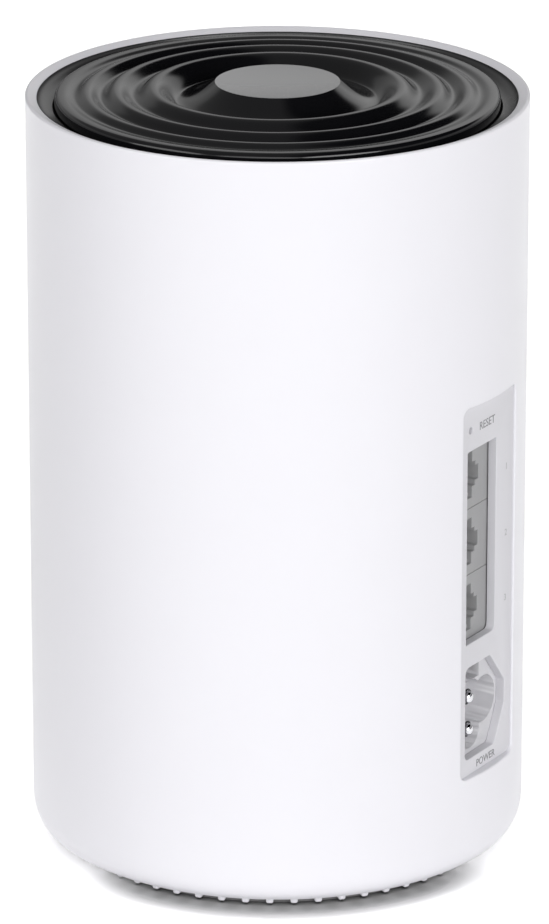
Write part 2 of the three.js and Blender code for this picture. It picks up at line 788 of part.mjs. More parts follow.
addPiece(portBay, "port_panel", geometryOf(makePanel()), "palePanel");

// Network socket: a block with a stepped plug opening, open to the front and, for the contacts, at the back.
function makeJack() {
  const half = jackWidth / 2;
  const opening = [
    [plugLeft, -plugWidth / 2],
    [plugLeft + plugHeight, -plugWidth / 2],
    [plugLeft + plugHeight, -latchWidth / 2],
    [plugLeft + plugHeight + latchHeight, -latchWidth / 2],
    [plugLeft + plugHeight + latchHeight, -latchTipWidth / 2],
    [plugLeft + plugHeight + latchHeight + latchTipHeight, -latchTipWidth / 2],
  ];
  const mirrored = opening.map(([x, y]) => [x, -y]).reverse();
  const body = block([jackLeft, -half, jackFace - jackDepth], [jackLeft + jackHeight, half, jackFace]);
  return cut(body, [plate([...opening, ...mirrored], jackFace - plugDepth, jackFace + overrun)]);
}

// Contacts: eight sprung strips that rise from a carrier on the socket's board side.
function makeContacts() {
  const carrierBack = jackFace - plugDepth + clearance;
  const carrierFront = carrierBack + contactCarrierDepth;
  const floor = plugLeft + clearance;
  const span = contactPitch * contactCount;
  const carrier = block(
    [floor, -span / 2, carrierBack],
    [floor + contactCarrierHeight, span / 2, carrierFront],
  );
  const root = floor + contactCarrierHeight;
  const front = carrierFront + contactRun;
  const tip = carrierBack + contactCarrierDepth / 2;
  const lean = contactThickness * contactLeanShare;
  const outline = [
    [root - contactThickness, carrierFront - contactThickness],
    [root - contactThickness, front],
    [root, front],
    [root + contactRise, tip],
    [root + contactRise, tip - lean],
    [root, front - lean],
    [root, carrierFront - contactThickness],
  ];
  const strip = plate(outline, -contactWidth / 2, contactWidth / 2).rotate([90, 0, 0]);
  const strips = Array.from({ length: contactCount }, (_, i) =>
    strip.translate([0, contactPitch * (i - (contactCount - 1) / 2), 0]),
  );
  return join([carrier, ...strips]);
}
for (let i = 0; i < jackCount; i++) {
  const middle = firstJackMiddle + jackPitch * (jackCount - 1 - i);
  const jack = addPiece(portBay, "ethernet_jack_" + (i + 1), geometryOf(makeJack()), "jackPlastic");
  const contacts = addPiece(portBay, "jack_contacts_" + (i + 1), geometryOf(makeContacts()), "gold");
  jack.position.y = middle;
  contacts.position.y = middle;
}

// Mains inlet: a flanged face with a long rounded cavity for the plug, a round relief beside it
// and a slot above them.
const upperPin = inletCutBottom + pinRise + pinPitch;
const lowerPin = inletCutBottom + pinRise;
const pinLine = portCutLeft + pinInset;
const cavityBack = jackFace - cavityDepth;
const housingBack = cavityBack - cavityWall;

// An upright outline with round ends between two heights.
function longHole(x, low, high, radius) {
  const outline = [];
  for (let step = 0; step <= smallFaces; step++) {
    const angle = (2 * Math.PI * step) / smallFaces;
    if (step <= smallFaces / 2) outline.push([x + radius * Math.cos(angle), high + radius * Math.sin(angle)]);
    if (step >= smallFaces / 2) outline.push([x + radius * Math.cos(angle), low + radius * Math.sin(angle)]);
  }
  return outline;
}

function makeInlet() {
  const flange = rectangle(
    jackLeft,
    inletCutBottom - inletFlangeMargin,
    panelHalf - panelEdgeWall - clearance,
    inletCutTop + inletFlangeMargin,
  );
  const bodyRight = pinLine + cavityRadius + cavityWall;
  const bodyLow = lowerPin - cavityRadius - cavityWall;
  const bodyHigh = upperPin + cavityRadius + cavityWall;
  const reliefX = portCutLeft + inletCutWidth - reliefInset - reliefRadius;
  const reliefY = upperPin - reliefDrop;
  const reliefBack = jackFace - reliefDepth;
  const flangeBackFace = jackFace - inletFlangeThickness;
  const slot = rectangle(
    portCutLeft,
    inletCutTop - slotDrop - slotHeight,
    portCutLeft + slotWidth,
    inletCutTop - slotDrop,
  );
  const rootFace = (flangeBackFace + jackFace) / 2;
  const reliefFaces = smallFaces * 2;
  const boss = rod(reliefRadius + reliefWall, reliefBack - reliefWall, rootFace, reliefFaces);
  const relief = rod(reliefRadius, reliefBack, jackFace + overrun, reliefFaces);
  const solids = join([
    plate(flange, flangeBackFace, jackFace),
    block([jackLeft, bodyLow, housingBack], [bodyRight, bodyHigh, rootFace]),
    boss.translate([reliefX, reliefY, 0]),
  ]);
  const pinHole = rod(pinDiameter / 2 + screwSlack, housingBack - overrun, jackFace, smallFaces);
  return cut(solids, [
    plate(longHole(pinLine, lowerPin, upperPin, cavityRadius), cavityBack, jackFace + overrun),
    relief.translate([reliefX, reliefY, 0]),
    plate(slot, flangeBackFace - overrun, jackFace + overrun),
    pinHole.translate([pinLine, lowerPin, 0]),
    pinHole.translate([pinLine, upperPin, 0]),
  ]);
}
addPiece(portBay, "inlet_housing", geometryOf(makeInlet()), "palePanel");

// Inlet pins: round rods with a dome at the tip and a tail behind the housing.
[lowerPin, upperPin].forEach((height, i) => {
  const radius = pinDiameter / 2;
  const tip = jackFace - pinSetback;
  const dome = [];
  for (let step = 0; step <= cornerSteps; step++) {
    const angle = (Math.PI / 2) * (step / cornerSteps);
    dome.push([radius * Math.cos(angle), tip - radius * (1 - Math.sin(angle))]);
  }
  dome[cornerSteps][0] = 0;
  const pin = turned([[0, housingBack - pinTail], [radius, housingBack - pinTail], ...dome], smallFaces);
  const mesh = addPiece(portBay, "inlet_pin_" + (i + 1), geometryOf(pin), "plating");
  mesh.position.set(pinLine, height, 0);
});

// Reset switch: its body stands on the board and its plunger waits behind the pinhole.
const plungerFront = panelBack - plungerSetback;
const plungerBack = plungerFront - plungerLength;
const switchFront = plungerFront - switchCover;
const resetMiddle = windowTop - pinholeDrop;
const resetSwitch = cut(
  block(
    [jackLeft, -switchWidth / 2, switchFront - switchDepth],
    [jackLeft + switchHeight, switchWidth / 2, switchFront],
  ),
  [
    block(
      [
        boardFace + resetHeight - plungerThickness / 2 - clearance,
        -plungerWidth / 2 - clearance,
        plungerBack - plungerTravel - clearance,
      ],
      [
        boardFace + resetHeight + plungerThickness / 2 + clearance,
        plungerWidth / 2 + clearance,
        switchFront + overrun,
      ],
    ),
  ],
);
const switchMesh = addPiece(portBay, "reset_switch", geometryOf(resetSwitch), "chip");
switchMesh.position.y = resetMiddle;
const plunger = new THREE.BoxGeometry(plungerThickness, plungerWidth, plungerLength);
const plungerMesh = addPiece(portBay, "reset_button", geometryOf(solidOf(plunger)), "whiteShell");
plungerMesh.position.set(boardFace + resetHeight, resetMiddle, (plungerFront + plungerBack) / 2);

// Boards: a power board below and the main board above, one behind the other's edge in the same plane.
const boardBack = -boardThickness;
function makeBoard(bottom, top) {
  const corner = boardThickness * 2;
  const outline = [
    [-boardFront, bottom],
    [boardRear - corner, bottom],
    [boardRear, bottom + corner],
    [boardRear, top - corner],
    [boardRear - corner, top],
    [-boardFront, top],
  ];
  return geometryOf(plate(outline, boardBack, 0));
}
const powerBoardBottom = hoopBottom + intakeHoopHeight + clearance;
addPiece(boardBay, "power_board", makeBoard(powerBoardBottom, boardSplit), "board");
addPiece(boardBay, "main_board", makeBoard(mainBoardBottom, mainBoardTop), "board");

// A block on a board's face, by its middle on the board and its size.
function onBoard(name, [x, y], [length, width, height], finishName) {
  const geometry = new THREE.BoxGeometry(length, width, height);
  const mesh = addPiece(boardBay, name, geometryOf(solidOf(geometry)), finishName);
  mesh.position.set(x, y, clearance + height / 2);
  return mesh;
}

// Transformers behind the sockets.
const coreLine = -(jackFace - jackDepth - transformerCoreGap - transformerCoreLength / 2);
for (let i = 0; i < jackCount; i++) {
  const middle = firstJackMiddle + jackPitch * (jackCount - 1 - i);
  onBoard(
    "line_transformer_" + (i + 1),
    [coreLine, middle],
    [transformerCoreLength, transformerCoreWidth, transformerCoreHeight],
    "chip",
  );
}

// Processor, its pad, memory chips and the finned heat sink over them.
const sinkLeft = coreLine + transformerCoreLength / 2 + partGap;
const sinkLength = boardRear - railGrooveDepth - sinkRearGap - sinkLeft;
const sinkHeight = mainBoardTop - mainBoardBottom - 2 * sinkEndGap;
const sinkMiddle = [sinkLeft + sinkLength / 2, (mainBoardBottom + mainBoardTop) / 2];
onBoard("processor", sinkMiddle, [processorSize, processorSize, processorHeight], "chip");
const pad = onBoard("thermal_pad", sinkMiddle, [padSize, padSize, padHeight], "pad");
pad.position.z += processorHeight + clearance;
[-1, 1].forEach((side, i) => {
  const shift = processorSize / 2 + memoryGap + memoryWidth / 2;
  const place = [sinkMiddle[0], sinkMiddle[1] + side * shift];
  onBoard("memory_chip_" + (i + 1), place, [memoryLength, memoryWidth, memoryHeight], "chip");
});

// A heat sink: a base plate with upright fins along its height, standing on its base at z = 0.
function makeSink(length, height, base, finHeight, finCount) {
  const plateSolid = block([-length / 2, -height / 2, 0], [length / 2, height / 2, base]);
  const pitch = (length - sinkFinThickness) / (finCount - 1);
  const fins = Array.from({ length: finCount }, (_, i) => {
    const left = pitch * i - length / 2;
    return block([left, -height / 2, base / 2], [left + sinkFinThickness, height / 2, base + finHeight]);
  });
  return join([plateSolid, ...fins]);
}
const mainSink = makeSink(sinkLength, sinkHeight, sinkBase, sinkFinHeight, sinkFinCount);
const mainSinkMesh = addPiece(boardBay, "main_heat_sink", geometryOf(mainSink), "aluminium");
mainSinkMesh.position.set(...sinkMiddle, clearance * 3 + processorHeight + padHeight);

// Radio shields on the back of the main board, each a shallow can, and a finned spreader on them.
const shieldWidth = sinkLength * shieldWidthShare;
const shieldSpan = mainBoardTop - mainBoardBottom - 2 * shieldEndGap;
const shieldPitch = (shieldSpan + shieldGap) / shieldCount;
const shieldLength = shieldPitch - shieldGap;
for (let i = 0; i < shieldCount; i++) {
  const can = cut(
    block([-shieldWidth / 2, -shieldLength / 2, -shieldHeight], [shieldWidth / 2, shieldLength / 2, 0]),
    [
      block(
        [shieldWall - shieldWidth / 2, shieldWall - shieldLength / 2, shieldWall - shieldHeight],
        [shieldWidth / 2 - shieldWall, shieldLength / 2 - shieldWall, overrun],
      ),
    ],
  );
  const mesh = addPiece(boardBay, "radio_shield_" + (i + 1), geometryOf(can), "plating");
  const shift = shieldPitch * (i - (shieldCount - 1) / 2);
  mesh.position.set(sinkMiddle[0], sinkMiddle[1] + shift, boardBack - clearance);
}
const spreader = makeSink(shieldWidth, shieldSpan, spreaderBase, spreaderFinHeight, spreaderFinCount);
const turnedSpreader = geometryOf(spreader.rotate([180, 0, 0]));
const spreaderMesh = addPiece(boardBay, "rear_heat_sink", turnedSpreader, "aluminium");
spreaderMesh.position.set(...sinkMiddle, boardBack - shieldHeight - clearance * 2);

// Link between the boards, across their shared edge.
const linkPlace = [boardRear - railGrooveDepth - linkLength, (boardSplit + mainBoardBottom) / 2];
onBoard("power_link", linkPlace, [linkLength, linkReach * 2, linkHeight], "canSleeve");

// Mains parts in two rows, from the inlet towards the back of the power board.
const lineStart = -housingBack + pinTail + partGap;
const lowerRow = powerBoardBottom + partGap;
const upperRow = lowerRow + bulkDiameter + partGap;
const chokeMiddle = [lineStart + chokeSize / 2, lowerRow + chokeSize / 2];
const chokeWindow = (chokeSize * chokeWindowShare) / 2;
const choke = cut(
  block([-chokeSize / 2, -chokeSize / 2, 0], [chokeSize / 2, chokeSize / 2, chokeHeight]),
  [
    block(
      [-chokeWindow, -chokeSize / 2 - overrun, chokeHeight / 2 - chokeWindow],
      [chokeWindow, chokeSize / 2 + overrun, chokeHeight / 2 + chokeWindow],
    ),
  ],
);
const chokeMesh = addPiece(boardBay, "line_choke", geometryOf(choke), "ferrite");
chokeMesh.position.set(...chokeMiddle, clearance);

// An upright can with a crimped neck above its seat.
function makeCan(diameter, height) {
  const radius = diameter / 2;
  const neck = radius * bulkCrimpShare;
  const profile = [
    [0, 0],
    [radius, 0],
    [radius, bulkCrimpHeight],
    [neck, bulkCrimpHeight * 2],
    [radius, bulkCrimpHeight * 3],
    [radius, height],
    [0, height],
  ];
  return geometryOf(turned(profile, smallFaces));
}
const bulkMiddle = [
  chokeMiddle[0] + chokeSize / 2 + partGap + bulkDiameter / 2,
  lowerRow + bulkDiameter / 2,
];
const bulkMesh = addPiece(boardBay, "bulk_capacitor", makeCan(bulkDiameter, bulkHeight), "canSleeve");
bulkMesh.position.set(...bulkMiddle, clearance);

// Heat plate for the power switch, behind the bulk capacitor.
onBoard(
  "switch_heat_sink",
  [bulkMiddle[0] + bulkDiameter / 2 + partGap + finPlateThickness / 2, lowerRow + finPlateWidth / 2],
  [finPlateThickness, finPlateWidth, finPlateHeight],
  "aluminium",
);

// Upper row: line capacitor, then the fuse, a glass tube between two end caps that lies up the board.
onBoard(
  "line_capacitor",
  [lineStart + lineCapacitorLength / 2, upperRow + lineCapacitorWidth / 2],
  [lineCapacitorLength, lineCapacitorWidth, lineCapacitorHeight],
  "film",
);
const fuseLine = lineStart + lineCapacitorLength + partGap + fuseDiameter / 2;
const fuseEnd = fuseLength / 2 - fuseCapLength;
const fuse = turned(
  [
    [0, -fuseLength / 2],
    [fuseDiameter / 2, -fuseLength / 2],
    [fuseDiameter / 2, -fuseEnd],
    [(fuseDiameter * fuseNeckShare) / 2, -fuseEnd],
    [(fuseDiameter * fuseNeckShare) / 2, fuseEnd],
    [fuseDiameter / 2, fuseEnd],
    [fuseDiameter / 2, fuseLength / 2],
    [0, fuseLength / 2],
  ],
  smallFaces,
).rotate([90, 0, 0]);
const fuseMesh = addPiece(boardBay, "fuse", geometryOf(fuse), "glass");
fuseMesh.position.set(fuseLine, upperRow + fuseLength / 2, clearance + fuseDiameter / 2);

// Main transformer: a coil former inside a closed frame of core.
const coilLine = fuseLine + fuseDiameter / 2 + partGap + coilLength / 2;
const coilHalf = coilLength / 2 - coilCoreThickness;
const coilForm = block(
  [-coilHalf - coilFormMargin, -coilWidth / 2, 0],
  [coilHalf + coilFormMargin, coilWidth / 2, coilHeight - coilCoreThickness / 2],
);
const coilCore = block(
  [-coilLength / 2, coilFormMargin * 2 - coilWidth / 2, coilFormMargin],
  [coilLength / 2, coilWidth / 2 - coilFormMargin * 2, coilHeight],
);
const coilMesh = addPiece(boardBay, "power_transformer", geometryOf(join([coilForm, coilCore])), "ferrite");
coilMesh.position.set(coilLine, upperRow + coilWidth / 2, clearance);

// Output capacitors behind the transformer, one above the other.
for (let i = 0; i < outputCount; i++) {
  const can = makeCan(outputDiameter, outputHeight);
  const mesh = addPiece(boardBay, "output_capacitor_" + (i + 1), can, "canSleeve");
  mesh.position.set(
    coilLine + coilLength / 2 + partGap + outputDiameter / 2,
    upperRow + outputDiameter / 2 + (outputDiameter + partGap) * i,
    clearance,
  );
}

export default group;
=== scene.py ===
import math

import bmesh
import bpy
import numpy as np
from mathutils import Matrix, Vector


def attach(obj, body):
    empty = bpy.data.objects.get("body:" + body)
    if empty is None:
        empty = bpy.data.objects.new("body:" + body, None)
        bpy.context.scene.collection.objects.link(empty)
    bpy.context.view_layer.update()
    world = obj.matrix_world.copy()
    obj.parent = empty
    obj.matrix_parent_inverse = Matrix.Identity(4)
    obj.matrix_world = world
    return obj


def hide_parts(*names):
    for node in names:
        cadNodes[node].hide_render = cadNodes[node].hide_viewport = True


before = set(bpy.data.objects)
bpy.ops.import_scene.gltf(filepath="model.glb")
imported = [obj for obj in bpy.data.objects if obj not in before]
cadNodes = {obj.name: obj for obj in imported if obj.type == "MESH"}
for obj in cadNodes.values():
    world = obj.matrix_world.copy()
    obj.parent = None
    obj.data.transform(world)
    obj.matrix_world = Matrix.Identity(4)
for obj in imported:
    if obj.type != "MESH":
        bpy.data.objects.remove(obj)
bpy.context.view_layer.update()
scene = bpy.context.scene
print("frame loaded:", len(cadNodes), "nodes")

bodyName = "node_body"


# Helpers for outlines

# Corners of a rectangle, counter-clockwise from the lower left.
def rectangle(left, low, right, high):
    return [[left, low], [right, low], [right, high], [left, high]]


# An arc: x = cx + rx cos t, y = cy + ry sin t, with t going evenly from one angle to another in degrees.
def arc(cx, cy, rx, ry, start, end, steps):
    t = np.radians(np.linspace(start, end, steps + 1))
    return np.stack([cx + rx * np.cos(t), cy + ry * np.sin(t)], -1)


# A full circle as an arc that ends one side before its start.
def circle(cx, cy, radius, sides):
    return arc(cx, cy, radius, radius, 0, 360 - 360 / sides, sides - 1)


# A closed loop with rounded corners: each corner becomes an arc that touches both edges at r / tan(half
# the corner's angle) from it, about a centre at r / sin(half the angle) along the middle line.
def roundedLoop(corners, radii, steps):
    corners = np.asarray(corners, float)
    loop = []
    for i, radius in enumerate(np.broadcast_to(radii, len(corners))):
        before = corners[i - 1] - corners[i]
        after = corners[(i + 1) % len(corners)] - corners[i]
        before, after = before / np.linalg.norm(before), after / np.linalg.norm(after)
        half = math.acos(np.clip(before @ after, -1, 1)) / 2
        reach = radius / math.tan(half)
        middle = before + after
        centre = corners[i] + middle / np.linalg.norm(middle) * radius / math.sin(half)
        first, last = corners[i] + before * reach - centre, corners[i] + after * reach - centre
        turn = math.atan2(first[0] * last[1] - first[1] * last[0], first @ last)
        t = np.linspace(0, turn, steps + 1)
        x = first[0] * np.cos(t) - first[1] * np.sin(t)
        y = first[0] * np.sin(t) + first[1] * np.cos(t)
        loop.append(centre + np.stack([x, y], -1))
    return np.vstack(loop)


# Helpers for meshes

# Links an object to the scene at the origin, unturned and unscaled.
def linkPiece(name, data):
    piece = bpy.data.objects.new(name, data)
    scene.collection.objects.link(piece)
    return piece


# A mesh from an array of points in any grid shape, numbered row by row, and faces of those numbers.
def meshOf(name, points, faces):
    faces = faces.tolist() if isinstance(faces, np.ndarray) else faces
    mesh = bpy.data.meshes.new(name)
    mesh.from_pydata(points.reshape(-1, 3).tolist(), [], faces)
    mesh.update()
    return mesh


# Quads of a grid: a vertex is numbered row * columns + column, and a quad takes four neighbours.
# closedRows and closedColumns join the last to the first.
def gridQuads(rows, columns, closedRows=False, closedColumns=False):
    index = np.arange(rows * columns).reshape(rows, columns)
    if closedRows:
        index = np.vstack([index, index[:1]])
    if closedColumns:
        index = np.hstack([index, index[:, :1]])
    a, b, c, d = index[:-1, :-1], index[:-1, 1:], index[1:, 1:], index[1:, :-1]
    return np.stack([a, b, c, d], -1).reshape(-1, 4)


# Welds doubles, drops flat faces, turns the faces outwards and marks edges sharper than the angle.
def weldAndSmooth(mesh, sharpAngle=35, gap=2e-6):
    work = bmesh.new()
    work.from_mesh(mesh)
    bmesh.ops.remove_doubles(work, verts=work.verts, dist=gap)
    bmesh.ops.dissolve_degenerate(work, edges=work.edges, dist=gap)
    bmesh.ops.recalc_face_normals(work, faces=work.faces)
    work.to_mesh(mesh)
    work.free()
    mesh.shade_smooth()
    mesh.set_sharp_from_angle(angle=math.radians(sharpAngle))
    return mesh


# A profile of (radius, height) rows turned round Z: x = r cos a, y = r sin a.
def turnedMesh(name, profile, steps, closed=False, sharpAngle=35):
    profile = np.asarray(profile, float)
    angles = np.linspace(0, 2 * np.pi, steps, endpoint=False)
    r, z = profile[:, :1], profile[:, 1:]
    points = np.stack([r * np.cos(angles), r * np.sin(angles), z + 0 * angles], -1)
    quads = gridQuads(len(profile), steps, closedRows=closed, closedColumns=True)
    return weldAndSmooth(meshOf(name, points, quads), sharpAngle)


# Closed tubes from an array of copies x rings x sides x 3: quads between the rings and a face at each
# end, numbered on from copy to copy.
def closedTubes(name, copies):
    rings, sides = copies.shape[1:3]
    last = (rings - 1) * sides
    ends = [list(range(sides))[::-1], list(range(last, last + sides))]
    tube = gridQuads(rings, sides, closedColumns=True).tolist() + ends
    faces = [[corner + i * rings * sides for corner in face] for i in range(len(copies)) for face in tube]
    return meshOf(name, copies, faces)


# The mesh that an object gives once its curve or its modifiers are worked out.
def evaluatedMesh(shape):
    bpy.context.view_layer.update()
    return bpy.data.meshes.new_from_object(shape.evaluated_get(bpy.context.evaluated_depsgraph_get()))


# Turns a curve or text into a mesh and frees the curve.
def meshOfCurve(curve):
    shape = linkPiece(curve.name, curve)
    mesh = evaluatedMesh(shape)
    bpy.data.objects.remove(shape)
    bpy.data.curves.remove(curve)
    return mesh


# A flat outline with holes in x and y, raised along z, its edges rounded by quarter circles.
def thickPlate(name, outline, holes, low, high, edge, edgeSteps=3):
    curve = bpy.data.curves.new(name, "CURVE")
    curve.dimensions = "2D"
    curve.fill_mode = "BOTH"
    for loop in [outline, *holes]:
        spline = curve.splines.new("POLY")
        spline.points.add(len(loop) - 1)
        flat = np.zeros((len(loop), 4))
        flat[:, :2] = loop
        flat[:, 3] = 1
        spline.points.foreach_set("co", flat.ravel())
        spline.use_cyclic_u = True
    curve.extrude = (high - low) / 2 - edge
    curve.bevel_depth = edge
    curve.bevel_resolution = edgeSteps
    curve.offset = -edge
    mesh = meshOfCurve(curve)
    mesh.transform(Matrix.Translation((0, 0, (low + high) / 2)))
    mesh.name = name
    return mesh


# Joins meshes into one and frees the parts.
def joinMeshes(name, meshes):
    work = bmesh.new()
    for mesh in meshes:
        work.from_mesh(mesh)
    joined = bpy.data.meshes.new(name)
    work.to_mesh(joined)
    work.free()
    for mesh in meshes:
        bpy.data.meshes.remove(mesh)
    return joined


# Replaces a piece's mesh by what its modifiers give, and drops the modifiers.
def applyModifiers(piece):
    mesh = evaluatedMesh(piece)
    piece.modifiers.clear()
    piece.data = mesh


# Adds a tool to a piece or cuts it away, and frees the tool.
def combine(piece, tool, operation):
    modifier = piece.modifiers.new(operation, "BOOLEAN")
    modifier.object = tool
    modifier.operation = operation
    modifier.solver = "EXACT"
    applyModifiers(piece)
    bpy.data.objects.remove(tool)


# Turns a mesh drawn in the bay's terms (x right, y up, z out) into its place in the part.
bayTurn = Matrix(((-1, 0, 0, 0), (0, 0, 1, 0), (0, 1, 0, 0), (0, 0, 0, 1)))


# A piece of the bay: its mesh is moved right, up and out in the bay's terms and then turned.
def bayPiece(name, mesh, right=0, up=0, out=0, sharpAngle=40):
    mesh.transform(bayTurn @ Matrix.Translation((right, up, out)))
    return linkPiece(name, weldAndSmooth(mesh, sharpAngle))


# Gives a piece its finish and the body it rides on, and hides the nodes it stands for.
def settle(piece, finish, replaced=()):
    piece.data.materials.clear()
    piece.data.materials.append(made[finish])
    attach(piece, bodyName)
    if replaced:
        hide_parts(*replaced)


# Camera, at the photograph's viewing angle

cameraSpec = {
    "azimuth": 121.0,
    "distance": 1.5488,  # level distance from the axis
    "height": 0.6297,
    "aimHeight": 0.0973,
    "lens": 255.2,
    "shiftX": -0.00336,
    "near": 0.05,
    "far": 20,
}


# Level direction at an angle from the camera's azimuth, to the picture's right: x = sin a, y = -cos a.
def fromCamera(degrees):
    turn = math.radians(cameraSpec["azimuth"] + degrees)
    return (math.sin(turn), -math.cos(turn), 0)


# The camera stands on its level direction at its distance and height, and looks at a point of the axis.
def makeCamera(spec):
    data = bpy.data.cameras.new("camera")
    camera = linkPiece("camera", data)
    x, y, _ = fromCamera(0)
    camera.location = (x * spec["distance"], y * spec["distance"], spec["height"])
    aim = Vector((0, 0, spec["aimHeight"])) - camera.location
    camera.rotation_mode = "QUATERNION"
    camera.rotation_quaternion = aim.to_track_quat("-Z", "Y")
    data.lens = spec["lens"]
    data.shift_x = spec["shiftX"]
    data.clip_start = spec["near"]
    data.clip_end = spec["far"]
    scene.camera = camera


makeCamera(cameraSpec)
print("camera placed")


# Finishes

grainNoises = (
    {"scale": "Scale", "result": "Height", "detail": 3, "roughness": 0.6},
    {"scale": "Coarse", "result": "Shade", "detail": 2, "roughness": 0.5},
)


# Moulded grain: one noise over the surface gives the height and a coarse one the shade, from 0 to 1.
def makeGrainGroup(noises):
    group = bpy.data.node_groups.new("mouldedGrain", "ShaderNodeTree")
    given, result = group.nodes.new("NodeGroupInput"), group.nodes.new("NodeGroupOutput")
    place = group.nodes.new("ShaderNodeTexCoord")
    for way, key in (("INPUT", "scale"), ("OUTPUT", "result")):
        for spec in noises:
            group.interface.new_socket(name=spec[key], in_out=way, socket_type="NodeSocketFloat")
    for spec in noises:
        noise = group.nodes.new("ShaderNodeTexNoise")
        noise.inputs["Detail"].default_value = spec["detail"]
        noise.inputs["Roughness"].default_value = spec["roughness"]
        group.links.new(place.outputs["Object"], noise.inputs["Vector"])
        group.links.new(given.outputs[spec["scale"]], noise.inputs["Scale"])
        group.links.new(noise.outputs["Fac"], result.inputs[spec["result"]])
    return group


grainGroup = makeGrainGroup(grainNoises)

# What a finish has unless it says otherwise
plainFinish = {
    "grainScale": 2500,
    "cloudScale": 60,
    "cloudSpan": (0.3, 0.7),  # the shades at which the roughness is lowest and highest
    "roughnessSwing": 0.02,
    "bump": 0,
    "bumpDistance": 0.00004,
    "metallic": 0,
    "ior": 1.5,
}


# A finish: the grain's shade leads from one colour to the other and from roughness - swing to
# roughness + swing, and the grain's height gives the bump.
def makeFinish(name, own):
    spec = {**plainFinish, **own}
    material = bpy.data.materials.new(name)
    material.use_nodes = True
    nodes, links = material.node_tree.nodes, material.node_tree.links
    shader = nodes["Principled BSDF"]
    grain = nodes.new("ShaderNodeGroup")
    grain.node_tree = grainGroup
    grain.inputs["Scale"].default_value = spec["grainScale"]
    grain.inputs["Coarse"].default_value = spec["cloudScale"]
    colour = nodes.new("ShaderNodeMix")
    colour.data_type = "RGBA"
    colour.inputs["A"].default_value = (*spec["colour"], 1)
    colour.inputs["B"].default_value = (*spec["colourTo"], 1)
    links.new(grain.outputs["Shade"], colour.inputs["Factor"])
    links.new(colour.outputs["Result"], shader.inputs["Base Color"])
    rough = nodes.new("ShaderNodeMapRange")
    rough.inputs["From Min"].default_value, rough.inputs["From Max"].default_value = spec["cloudSpan"]
    rough.inputs["To Min"].default_value = spec["roughness"] - spec["roughnessSwing"]
    rough.inputs["To Max"].default_value = spec["roughness"] + spec["roughnessSwing"]
    links.new(grain.outputs["Shade"], rough.inputs["Value"])
    links.new(rough.outputs["Result"], shader.inputs["Roughness"])
    if spec["bump"]:
        bump = nodes.new("ShaderNodeBump")
        bump.inputs["Strength"].default_value = spec["bump"]
        bump.inputs["Distance"].default_value = spec["bumpDistance"]
        links.new(grain.outputs["Height"], bump.inputs["Height"])
        links.new(bump.outputs["Normal"], shader.inputs["Normal"])
    shader.inputs["Metallic"].default_value = spec["metallic"]
    shader.inputs["IOR"].default_value = spec["ior"]
    return material


